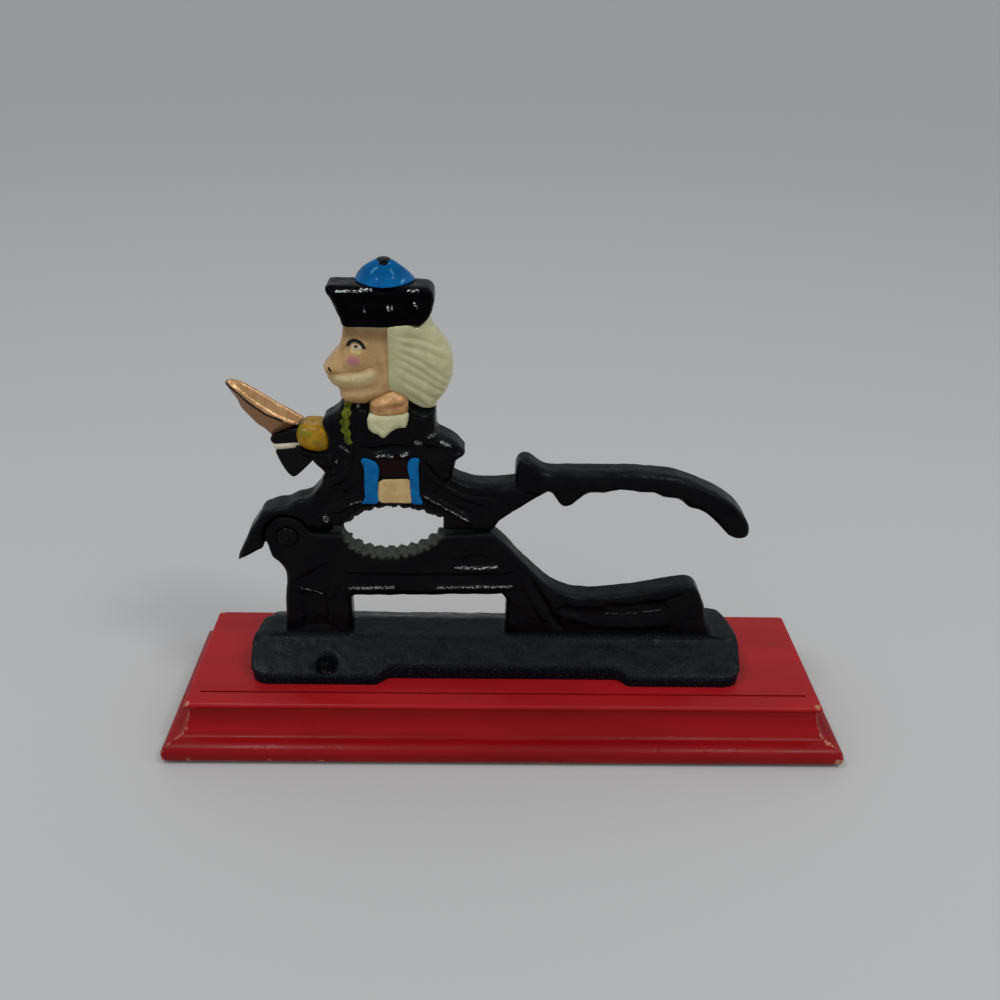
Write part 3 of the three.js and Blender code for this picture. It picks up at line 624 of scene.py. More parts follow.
def teeth_share(plan: np.ndarray, gap: np.ndarray, box: tuple[Point, Point],
                depth: float = 1.6) -> np.ndarray:
    """Say how much each point of a casting belongs to its jaw's row of teeth.

    Args:
        plan: Points as x and z, one row each.
        gap: Their distances from the outline.
        box: The lower left and the upper right corner of the jaw.
        depth: How far in from the outline the teeth go.

    Returns:
        One share for each point.
    """
    (left, low), (right, high) = box
    x, z = plan.T
    within = eased(x, left, left + 2) * eased(-x, -right, 2 - right) * (z > low) * (z < high)
    return within * (1 - eased(gap, depth, depth + 0.9))


def placed(name: str, mesh: bpy.types.Mesh, material: bpy.types.Material, body: Body, slot: str,
           *replaced: str) -> bpy.types.Object:
    """Link a mesh as a piece of the model.

    Args:
        name: The piece's name.
        mesh: Its mesh, in place.
        material: Its finish.
        body: The CAD body that it rides on.
        slot: The record's material slot.
        replaced: The CAD nodes that it stands for.

    Returns:
        The new object.
    """
    piece = bpy.data.objects.new(name, mesh)
    bpy.context.scene.collection.objects.link(piece)
    mesh.materials.append(material)
    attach(piece, body.value)
    if replaced:
        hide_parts(*replaced)
    mesh.calc_loop_triangles()
    log.info("%s: %d triangles, for %s", name, len(mesh.loop_triangles), ", ".join(replaced))
    return piece


class Sheet:
    """The node tree of one material, with short calls for the nodes that these finishes use."""

    def __init__(self, name: str) -> None:
        """Start an empty material with a Principled shader.

        Args:
            name: The material's name.
        """
        self.material = bpy.data.materials.new(name)
        self.material.use_nodes = True
        self.tree = self.material.node_tree
        self.tree.nodes.clear()
        self.shader = self.add("ShaderNodeBsdfPrincipled")
        output = self.add("ShaderNodeOutputMaterial")
        self.tree.links.new(self.shader.outputs[0], output.inputs["Surface"])
        self.place = self.add("ShaderNodeTexCoord").outputs["Object"]

    def add(self, kind: str, **settings: object) -> bpy.types.Node:
        """Add a node and set its properties.

        Args:
            kind: The node's type.
            settings: Its properties by name.

        Returns:
            The node.
        """
        node = self.tree.nodes.new(kind)
        for key, value in settings.items():
            setattr(node, key, value)
        return node

    def feed(self, socket: bpy.types.NodeSocket, value: object) -> None:
        """Link a socket to another one, or set it to a plain value.

        Args:
            socket: The socket to feed.
            value: The other socket, or the value.
        """
        if isinstance(value, bpy.types.NodeSocket):
            self.tree.links.new(value, socket)
        else:
            socket.default_value = value

    def stretched(self, size: tuple[float, float, float]) -> bpy.types.NodeSocket:
        """Measure the place in units of a pattern's size.

        Args:
            size: The pattern's size along each axis, in millimetres.

        Returns:
            The place in those units.
        """
        mapping = self.add("ShaderNodeMapping")
        self.feed(mapping.inputs["Vector"], self.place)
        mapping.inputs["Scale"].default_value = [1 / (MM * length) for length in size]
        return mapping.outputs[0]

    def noise(self, size: float | tuple[float, float, float], detail: float = 3,
              roughness: float = 0.5, warp: float = 0) -> bpy.types.NodeSocket:
        """Add cloudy noise.

        Args:
            size: Length of its clouds in millimetres, or one for each axis.
            detail: How many finer layers it has.
            roughness: How strong the finer layers are.
            warp: How much it is bent.

        Returns:
            The noise, about 0.5.
        """
        lengths = size if isinstance(size, tuple) else (size, size, size)
        node = self.add("ShaderNodeTexNoise")
        self.feed(node.inputs["Vector"], self.stretched(lengths))
        node.inputs["Scale"].default_value = 1
        node.inputs["Detail"].default_value = detail
        node.inputs["Roughness"].default_value = roughness
        node.inputs["Distortion"].default_value = warp
        return node.outputs["Fac"]

    def math(self, operation: str, *values: object, clamp: bool = False) -> bpy.types.NodeSocket:
        """Add a sum on numbers.

        Args:
            operation: The sum's kind.
            values: What it works on, sockets or numbers.
            clamp: Whether the result is kept between 0 and 1.

        Returns:
            The result.
        """
        node = self.add("ShaderNodeMath", operation=operation, use_clamp=clamp)
        for socket, value in zip(node.inputs, values):
            self.feed(socket, value)
        return node.outputs[0]

    def ramp(self, value: bpy.types.NodeSocket, low: float, high: float,
             start: float = 0, end: float = 1) -> bpy.types.NodeSocket:
        """Rise smoothly from one number to another.

        Args:
            value: What the rise depends on.
            low: Its value where the rise begins, which may be above high.
            high: Its value where the rise ends.
            start: The number before the rise.
            end: The number after it.

        Returns:
            The risen number.
        """
        node = self.add("ShaderNodeMapRange", interpolation_type="SMOOTHSTEP")
        for key, number in (("From Min", low), ("From Max", high), ("To Min", start), ("To Max", end)):
            node.inputs[key].default_value = number
        self.feed(node.inputs["Value"], value)
        return node.outputs[0]

    def mix(self, share: object, first: object, second: object) -> bpy.types.NodeSocket:
        """Mix two colours.

        Args:
            share: How much of the second there is.
            first: The colour at 0.
            second: The colour at 1.

        Returns:
            The mixed colour.
        """
        node = self.add("ShaderNodeMix", data_type="RGBA")
        self.feed(node.inputs["Factor"], share)
        colours = [socket for socket in node.inputs if socket.type == "RGBA"]
        self.feed(colours[0], first)
        self.feed(colours[1], second)
        return next(socket for socket in node.outputs if socket.type == "RGBA")

    def mark(self, name: str) -> bpy.types.NodeSocket:
        """Return a number painted on the piece."""
        return self.add("ShaderNodeAttribute", attribute_name=name).outputs["Fac"]

    def glints(self, name: str) -> bpy.types.NodeSocket:
        """Break a painted number up into small glints, and whole ones where it is above 1.

        Args:
            name: The painted number's name.

        Returns:
            How strong the glints are.
        """
        strength = self.mark(name)
        broken = self.ramp(self.noise((0.95, 0.6, 0.34), 2, 0.6), 0.5, 0.6)
        small = self.math("MULTIPLY", self.ramp(strength, 0.25, 0.8), broken)
        return self.math("MAXIMUM", small, self.ramp(strength, 1.2, 1.5))

    def upward(self) -> bpy.types.NodeSocket:
        """Find how far the surface faces up.

        Returns:
            1 where it is level, and 0 where it is upright.
        """
        split = self.add("ShaderNodeSeparateXYZ")
        self.feed(split.inputs[0], self.add("ShaderNodeNewGeometry").outputs["Normal"])
        return split.outputs["Z"]

    def height(self) -> bpy.types.NodeSocket:
        """Find the height above the table.

        Returns:
            The height in metres.
        """
        split = self.add("ShaderNodeSeparateXYZ")
        self.feed(split.inputs[0], self.place)
        return split.outputs["Z"]

    def bump(self, value: bpy.types.NodeSocket, depth: float,
             under: bpy.types.NodeSocket | None = None) -> bpy.types.NodeSocket:
        """Bend the normal by a height.

        Args:
            value: The height, 0 to 1.
            depth: What 1 stands for in millimetres.
            under: A normal that is bent already.

        Returns:
            The bent normal.
        """
        node = self.add("ShaderNodeBump")
        node.inputs["Strength"].default_value = 1
        node.inputs["Distance"].default_value = depth * MM
        self.feed(node.inputs["Height"], value)
        if under is not None:
            self.feed(node.inputs["Normal"], under)
        return node.outputs[0]

    def finish(self, **inputs: object) -> bpy.types.Material:
        """Feed the shader's sockets.

        Args:
            inputs: What goes into each, by its name with underscores for spaces.

        Returns:
            The finished material.
        """
        for key, value in inputs.items():
            self.feed(self.shader.inputs[key.replace("_", " ")], value)
        return self.material


@dataclass(frozen=True)
class Ink:
    """A second colour, laid on where a painted mark says."""

    mark: str
    colour: Colour
    low: float = 0.35
    high: float = 0.65


@dataclass(frozen=True)
class Enamel:
    """Hobby paint brushed over cast iron."""

    name: str
    colour: Colour
    shade: Colour
    cloud: float = 4
    roughness: float = 0.3
    metallic: float = 0
    brush: tuple[float, float, float] = (2.2, 2.2, 1.5)
    depth: float = 0.05
    specular: float = 0.25
    inks: tuple[Ink, ...] = ()
    glints: Colour | None = None

    def material(self) -> bpy.types.Material:
        """Mix the paint.

        Returns:
            The paint as a material.
        """
        sheet = Sheet(self.name)
        cloudy = sheet.ramp(sheet.noise(self.cloud, 4, 0.6, 0.4), 0.35, 0.68)
        base = sheet.mix(cloudy, linear(self.colour), linear(self.shade))
        specks = sheet.ramp(sheet.noise(0.9, 2), 0.66, 0.72, 0, 0.35)
        base = sheet.mix(specks, base, linear(self.shade))
        for ink in self.inks:
            ragged = sheet.math("ADD", sheet.mark(ink.mark),
                                sheet.math("MULTIPLY", sheet.math("SUBTRACT", sheet.noise(0.8), 0.5), 0.25))
            base = sheet.mix(sheet.ramp(ragged, ink.low, ink.high), base, linear(ink.colour))
        # Painted glints, with some pale wear, where the mark says.
        if self.glints:
            base = sheet.mix(sheet.glints("worn"), base, linear(self.glints))
        strokes = sheet.bump(sheet.noise(self.brush, 3, 0.55), self.depth)
        grain = sheet.bump(sheet.noise(0.45, 2), self.depth * 0.3, strokes)
        dull = sheet.ramp(sheet.noise(1.7, 3), 0.3, 0.75, self.roughness * 0.8, self.roughness * 1.35)
        return sheet.finish(Base_Color=base, Roughness=dull, Normal=grain, Metallic=self.metallic,
                            Specular_IOR_Level=self.specular)


@dataclass(frozen=True)
class CastIron:
    """Black enamel over sand-cast iron, with dust and a painted sheen where it faces up, and painted glints
    with pale wear on its ridges.
    """

    name: str
    black: Colour = (4, 4, 7)
    brown: Colour = (9, 8, 10)
    # Pale tone of the dust and of the painted sheen on faces that look up.
    dust_and_sheen: Colour = (24, 29, 29)
    blue: Colour = (9, 12, 18)
    fleck: Colour = (38, 44, 50)
    # Pale colour of the painted glints and wear on the ridges.
    worn: Colour = (176, 180, 176)
    bare: Colour = (70, 72, 66)
    maroon: Colour = (26, 8, 8)
    roughness: float = 0.26

    def material(self) -> bpy.types.Material:
        """Enamel the iron.

        Returns:
            The iron as a material.
        """
        sheet = Sheet(self.name)
        base = sheet.mix(sheet.ramp(sheet.noise(9, 4, 0.6), 0.4, 0.65), linear(self.black),
                         linear(self.brown))
        speckle = sheet.noise(0.8, 3, 0.65)
        low = sheet.ramp(sheet.height(), (DECK + 14.5) * MM, (DECK + 11.5) * MM)
        base = sheet.mix(low, base, linear(self.blue))
        flecks = sheet.math("MULTIPLY", low, sheet.ramp(sheet.noise(0.55, 2), 0.55, 0.68))
        base = sheet.mix(flecks, base, linear(self.fleck))
        # Faces that look up get pale dust speckles and a painted sheen, as if lit from above.
        up = sheet.ramp(sheet.upward(), 0.45, 0.95)
        dusty_sheen = sheet.math("MULTIPLY", up, sheet.ramp(speckle, 0.3, 0.7, 0.45, 1))
        patches = sheet.ramp(sheet.noise((11, 5, 5), 4, 0.6), 0.36, 0.6, 0.35, 1)
        dusty_sheen = sheet.math("MULTIPLY", dusty_sheen, patches)
        base = sheet.mix(dusty_sheen, base, linear(self.dust_and_sheen))
        base = sheet.mix(sheet.mark("maroon"), base, linear(self.maroon))
        rubbed = sheet.math("MULTIPLY", sheet.mark("bare"), sheet.ramp(speckle, 0.3, 0.6, 0.35, 1))
        base = sheet.mix(rubbed, base, linear(self.bare))
        base = sheet.mix(sheet.glints("worn"), base, linear(self.worn))
        sand = sheet.bump(sheet.noise(0.7, 3, 0.6), 0.05)
        pits = sheet.bump(sheet.ramp(sheet.noise(2.6, 2), 0.3, 0.5), 0.06, sand)
        dull = sheet.ramp(dusty_sheen, 0, 1, self.roughness, 0.5)
        return sheet.finish(Base_Color=base, Roughness=dull, Normal=pits, Specular_IOR_Level=0.07)


@dataclass(frozen=True)
class Chip:
    """A place where the plinth's paint is knocked off to the wood."""

    place: tuple[float, float, float]
    radius: float


@dataclass(frozen=True)
class GlossRed:
    """Red gloss paint on a wooden moulding, knocked through to pale wood at its corners, with painted shade
    low on its sides and a painted sheen on its top.
    """

    name: str
    red: Colour = (158, 11, 19)
    deep: Colour = (143, 7, 14)
    wood: Colour = (186, 136, 108)
    stained: Colour = (158, 84, 70)
    # Pale tone of the dust and painted sheen on the top.
    dust_and_sheen: Colour = (255, 110, 118)
    painted_shade: Colour = (16, 0, 2)
    mitre: float = 88.9
    top: float = 21.0
    painted_shade_heights: Point = (8.0, 11.0)
    chips: tuple[Chip, ...] = ()

    def material(self) -> bpy.types.Material:
        """Paint and wear the wood.

        Returns:
            The wood as a material.
        """
        sheet = Sheet(self.name)
        cloudy = sheet.ramp(sheet.noise((60, 12, 12), 4), 0.35, 0.68)
        base = sheet.mix(cloudy, linear(self.red), linear(self.deep))
        grain = sheet.noise((34, 1.1, 1.1), 4, 0.6)
        base = sheet.mix(sheet.ramp(grain, 0.58, 0.74, 0, 0.3), base, linear(self.deep))
        ragged = sheet.math("MULTIPLY", sheet.math("SUBTRACT", sheet.noise(1.6, 4, 0.65), 0.5), 3.4)
        bare = self.edges(sheet)
        for chip in self.chips:
            reach = sheet.add("ShaderNodeVectorMath", operation="DISTANCE")
            sheet.feed(reach.inputs[0], sheet.place)
            reach.inputs[1].default_value = [length * MM for length in chip.place]
            depth = sheet.math("MULTIPLY_ADD", reach.outputs["Value"], -1 / MM, chip.radius)
            shape = sheet.ramp(sheet.math("ADD", depth, ragged), 0, 0.25)
            bare = sheet.math("MAXIMUM", bare, shape)
        fibre = sheet.mix(sheet.noise((9, 0.5, 0.5), 3), linear(self.wood), linear(self.stained))
        # Painted sheen with a little dust: the top is made a little paler.
        top_sheen = sheet.ramp(sheet.height(), (self.top - 0.6) * MM, (self.top - 0.1) * MM, 0, 0.04)
        base = sheet.mix(top_sheen, base, linear(self.dust_and_sheen))
        # Painted shade: the sides are darkened below the lower height, fading out by the upper one.
        shaded, lit = self.painted_shade_heights
        base = sheet.mix(sheet.ramp(sheet.height(), shaded * MM, lit * MM, 0.24, 0), base,
                         linear(self.painted_shade))
        base = sheet.mix(bare, base, fibre)
        waves = sheet.bump(grain, 0.05)
        dents = sheet.bump(sheet.ramp(sheet.noise(5, 2), 0.2, 0.42), 0.06, waves)
        dull = sheet.ramp(sheet.noise((20, 4, 4), 3), 0.3, 0.7, 0.26, 0.4)
        return sheet.finish(Base_Color=base, Roughness=dull, Normal=dents, Specular_IOR_Level=0.14)

    def edges(self, sheet: Sheet) -> bpy.types.NodeSocket:
        """Return where the paint is rubbed off the mitred corners and the foot's lower edge.

        Args:
            sheet: The material being made.

        Returns:
            The share of bare wood.
        """
        split = sheet.add("ShaderNodeSeparateXYZ")
        sheet.feed(split.inputs[0], sheet.place)
        along, across = (sheet.math("ABSOLUTE", split.outputs[axis]) for axis in ("X", "Y"))
        off = sheet.math("SUBTRACT", sheet.math("SUBTRACT", along, across), self.mitre * MM)
        off = sheet.math("ABSOLUTE", sheet.math("DIVIDE", off, MM))
        ragged = sheet.ramp(sheet.noise(2.4, 4, 0.65), 0.3, 0.7, -1.3, 1.1)
        corner = sheet.ramp(sheet.math("SUBTRACT", ragged, off), -0.5, 0.2, 0, 0.75)
        side = sheet.ramp(split.outputs["Z"], self.top * MM, (self.top - 0.5) * MM)
        height = sheet.math("DIVIDE", split.outputs["Z"], MM)
        chipped = sheet.ramp(sheet.noise((7, 7, 3), 4, 0.7), 0.52, 0.8, 0.8, 3.6)
        foot = sheet.ramp(sheet.math("SUBTRACT", chipped, height), 0, 0.2, 0, 0.8)
        return sheet.math("MAXIMUM", sheet.math("MULTIPLY", corner, side), foot)


@dataclass(frozen=True)
class Felt:
    """Pressed felt."""

    name: str
    dark: Colour = (30, 52, 34)
    pale: Colour = (58, 84, 60)

    def material(self) -> bpy.types.Material:
        """Press the felt.

        Returns:
            The felt as a material.
        """
        sheet = Sheet(self.name)
        fibres = sheet.noise(0.35, 4, 0.7)
        base = sheet.mix(fibres, linear(self.dark), linear(self.pale))
        return sheet.finish(Base_Color=base, Roughness=0.95, Normal=sheet.bump(fibres, 0.2),
                            Sheen_Weight=0.4)


@dataclass(frozen=True)
class BlackSteel:
    """Steel painted or blackened with the casting, rubbed brighter in patches."""

    name: str
    colour: Colour = (9, 8, 9)
    bright: Colour = (26, 24, 23)

    def material(self) -> bpy.types.Material:
        """Blacken the steel.

        Returns:
            The steel as a material.
        """
        sheet = Sheet(self.name)
        rubbed = sheet.ramp(sheet.noise(1.3, 4, 0.6), 0.5, 0.72)
        base = sheet.mix(rubbed, linear(self.colour), linear(self.bright))
        dull = sheet.ramp(sheet.noise(0.9, 2), 0.3, 0.7, 0.2, 0.36)
        return sheet.finish(Base_Color=base, Roughness=dull, Metallic=0.05, Specular_IOR_Level=0.07,
                            Normal=sheet.bump(sheet.noise(0.5, 3), 0.05))


@dataclass
class Studio:
    """The camera at the photograph's place, the floor and the soft light."""

    focal: float = 36.0
    pitch: float = 0.4950
    yaw: float = 0.0271
    roll: float = 0.0252
    position: tuple[float, float, float] = (-11.8152, -318.8301, 264.3169)
    floor_size: float = 60.0
    pale: Colour = (190, 190, 190)
    lamps: tuple[tuple[float, float, float], ...] = ((0.5, -0.35, 1.0), (-0.45, -0.2, 1.1))
    lamp_size: float = 0.2
    lamp_power: float = 2.5
    daylight: float = 0.57

    def build(self) -> None:
        """Make the camera, the floor, the lamps and the world."""
        self.camera()
        self.floor()
        self.light()

    def camera(self) -> None:
        """Set the camera where the photograph was taken from."""
        ahead = Vector((math.sin(self.yaw) * math.cos(self.pitch),
                        math.cos(self.yaw) * math.cos(self.pitch), -math.sin(self.pitch)))
        level = Vector((math.cos(self.yaw), -math.sin(self.yaw), 0))
        rise = level.cross(ahead)
        side = math.cos(self.roll) * level + math.sin(self.roll) * rise
        top = math.cos(self.roll) * rise - math.sin(self.roll) * level
        lens = bpy.data.cameras.new("photo_camera")
        lens.lens = self.focal
        lens.sensor_width = self.focal
        lens.clip_start = 0.01
        camera = bpy.data.objects.new("photo_camera", lens)
        camera.matrix_world = Matrix((
            (side.x, top.x, -ahead.x, self.position[0] * MM),
            (side.y, top.y, -ahead.y, self.position[1] * MM),
            (side.z, top.z, -ahead.z, self.position[2] * MM),
            (0, 0, 0, 1),
        ))
        bpy.context.scene.collection.objects.link(camera)
        bpy.context.scene.camera = camera
        bpy.context.scene.view_settings.view_transform = "Standard"

    def floor(self) -> None:
        """Lay a plain pale floor at the height the pads stand on."""
        shape = bmesh.new()
        bmesh.ops.create_grid(shape, x_segments=1, y_segments=1, size=self.floor_size / 2)
        mesh = bpy.data.meshes.new("floor")
        shape.to_mesh(mesh)
        shape.free()
        floor = bpy.data.objects.new("floor", mesh)
        bpy.context.scene.collection.objects.link(floor)
        sheet = Sheet("pale_floor")
        mesh.materials.append(sheet.finish(Base_Color=linear(self.pale), Roughness=0.6,
                                           Specular_IOR_Level=0.2))

    def light(self) -> None:
        """Hang two round lamps over the object and fill the rest with even daylight."""
        for place in self.lamps:
            lamp = bpy.data.lights.new("ceiling_lamp", "AREA")
            lamp.shape = "DISK"
            lamp.size = self.lamp_size
            lamp.energy = self.lamp_power
            hung = bpy.data.objects.new("ceiling_lamp", lamp)
            hung.location = place
            hung.rotation_euler = Vector(place).to_track_quat("Z", "Y").to_euler()
            bpy.context.scene.collection.objects.link(hung)
        world = bpy.data.worlds.new("daylight")
        world.use_nodes = True
        sky = world.node_tree.nodes["Background"]
        sky.inputs["Color"].default_value = (0.96, 0.98, 1.0, 1)
        sky.inputs["Strength"].default_value = self.daylight
        bpy.context.scene.world = world


def sharpened(shape: bmesh.types.BMesh, degrees: float) -> None:
    """Shade every face smoothly and keep edges above an angle crisp.

    Args:
        shape: The piece's shape.
        degrees: The angle.
    """
    for face in shape.faces:
        face.smooth = True
    for edge in shape.edges:
        edge.smooth = edge.calc_face_angle(0) < math.radians(degrees)


@dataclass
class Plinth:
    """The moulded wooden plinth and its four felt pads."""

    length: float = 254.0
    width: float = 76.2
    height: float = 20.5
    lift: float = 1.0
    top_inset: float = 9.45
    bead: float = 1.25
    foot_round: float = 1.2
    foot_rise: float = 3.3
    shoulder_run: float = 5.0
    shoulder_rise: float = 3.5
    mitre_round: float = 0.9
    groove_inset: float = 6.1
    groove_end: float = 3.6
    groove_width: float = 1.0
    groove_depth: float = 0.7
    mitre_steps: int = 3
    crisp: float = 40.0
    chips: tuple[Chip, ...] = (
        Chip((-117.2, -28.9, 21.0), 1.0),
        Chip((117.0, -28.6, 21.2), 1.3),
        Chip((121.5, -33.0, 8.0), 1.2),
        Chip((125.6, -37.0, 2.6), 2.0),
        Chip((126.8, -33.0, 3.0), 1.0),
        Chip((-126.4, -37.6, 2.2), 1.0),
        Chip((-117.4, 28.7, 21.2), 0.9),
        Chip((126.4, 37.6, 2.4), 1.3),
        Chip((-126.2, 37.2, 2.8), 1.4),
    )

    def build(self, nodes: Nodes) -> None:
        """Build and dress the plinth and dress its pads.

        Args:
            nodes: The CAD nodes by name.
        """
        mesh = bpy.data.meshes.new("plinth_block")
        shape = self.moulding()
        self.groove(shape)
        sharpened(shape, self.crisp)
        shape.to_mesh(mesh)
        shape.free()
        paint = GlossRed("plinth_red_gloss", chips=self.chips).material()
        placed("plinth_block", mesh, paint, Body.BASE, "plinth_red", "plinth")
        felt = Felt("pressed_felt").material()
        for i in range(4):
            pad = nodes["pad_%d" % (i + 1)]
            pad.data.materials.clear()
            pad.data.materials.append(felt)
            log.info("%s: felt on the CAD node", pad.name)

    def profile(self) -> list[Point]:
        """Draw the moulding's section from the foot up.

        Returns:
            Its points, as inset and height.
        """
        angles = [math.pi / 2 * i / ARC_STEPS for i in range(2 * ARC_STEPS + 1)]
        quarter = angles[:ARC_STEPS + 1]
        foot, bead = self.foot_round, self.bead
        cove_run = self.top_inset - self.shoulder_run
        cove_top = self.height - 2 * bead
        cove_foot = self.foot_rise + self.shoulder_rise
        return [
            *((foot * (1 - math.sin(angle)), foot * (1 - math.cos(angle))) for angle in quarter),
            *((self.shoulder_run * (1 - math.cos(angle)),
               self.foot_rise + self.shoulder_rise * math.sin(angle)) for angle in quarter),
            *((self.shoulder_run + cove_run * math.sin(angle),
               cove_top - (cove_top - cove_foot) * math.cos(angle)) for angle in quarter[1:]),
            *((self.top_inset - bead * math.sin(angle),
               self.height - bead - bead * math.cos(angle)) for angle in angles[1:]),
        ]

    def ring(self, inset: float, height: float) -> list[Vector]:
        """Place the four corners of the moulding at one point of its section.

        Args:
            inset: How far the point lies in from the foot's edge.
            height: Its height above the foot.

        Returns:
            The corners, in order.
        """
        x = (self.length / 2 - inset) * MM
        y = (self.width / 2 - inset) * MM
        z = (self.lift + height) * MM
        return [Vector((sx * x, sy * y, z)) for sx, sy in ((-1, -1), (1, -1), (1, 1), (-1, 1))]

    def moulding(self) -> bmesh.types.BMesh:
        """Carry the section up the four mitred sides, then round the mitres.

        Returns:
            The closed shape, in metres.
        """
        shape = bmesh.new()
        section = self.profile()
        foot = top = shape.faces.new([shape.verts.new(corner) for corner in self.ring(*section[0])])
        for inset, height in section[1:]:
            below = top
            grown = bmesh.ops.extrude_face_region(shape, geom=[below], use_keep_orig=below is foot)
            top = next(item for item in grown["geom"] if isinstance(item, bmesh.types.BMFace))
            if below is not foot and below.is_valid:
                bmesh.ops.delete(shape, geom=[below], context="FACES_ONLY")
            for vert in top.verts:
                vert.co = min(self.ring(inset, height), key=lambda place: (place.xy - vert.co.xy).length)
        bmesh.ops.recalc_face_normals(shape, faces=shape.faces)
        mitres = [edge for edge in shape.edges if self.mitred(*(vert.co for vert in edge.verts))]
        bmesh.ops.bevel(shape, geom=mitres, offset=self.mitre_round * MM, offset_type="OFFSET",
                        segments=self.mitre_steps, profile=0.5, affect="EDGES", material=-1,
                        clamp_overlap=True)
        return shape

    def mitred(self, start: Vector, end: Vector) -> bool:
        """Say whether an edge runs up a corner, and not along a side.

        Args:
            start: One end of the edge.
            end: Its other end.

        Returns:
            True where two sides meet in it.
        """
        along, across = (abs(abs(start[axis]) - abs(end[axis])) > 1e-7 for axis in range(2))
        return abs(start.z - end.z) > 1e-6 or (along and across)

    def groove(self, shape: bmesh.types.BMesh) -> None:
        """Sink the thin line along the front of the top: cut its outline, then press it in.

        Args:
            shape: The plinth, whose top is one face.
        """
        deck = (self.lift + self.height) * MM
        front = -(self.width / 2 - self.top_inset - self.groove_inset) * MM
        half = self.groove_width / 2 * MM
        end = (self.length / 2 - self.top_inset - self.groove_end) * MM
        for place, facing in (((0, front - half, 0), (0, 1, 0)), ((0, front + half, 0), (0, 1, 0)),
                              ((-end, 0, 0), (1, 0, 0)), ((end, 0, 0), (1, 0, 0))):
            tops = [face for face in shape.faces
                    if abs(face.calc_center_median().z - deck) < 1e-6 and face.normal.z > 0.9]
            parts = dict.fromkeys(part for face in tops for part in (face, *face.verts, *face.edges))
            bmesh.ops.bisect_plane(shape, geom=list(parts), plane_co=place, plane_no=facing, dist=1e-7)
        floor = [face for face in shape.faces
                 if abs(face.calc_center_median().y - front) < half
                 and abs(face.calc_center_median().x) < end
                 and abs(face.calc_center_median().z - deck) < 1e-6]
        sunk = bmesh.ops.extrude_face_region(shape, geom=floor)
        verts = [item for item in sunk["geom"] if isinstance(item, bmesh.types.BMVert)]
        bmesh.ops.translate(shape, verts=verts, vec=(0, 0, -self.groove_depth * MM))
        bmesh.ops.delete(shape, geom=[face for face in floor if face.is_valid], context="FACES_ONLY")


@dataclass(frozen=True)
class PlateEnd:
    """An end of the base plate: its side, the crest's end in the CAD, and the real outline of its top."""

    side: int
    crest: float
    bottom: float
    top: Line


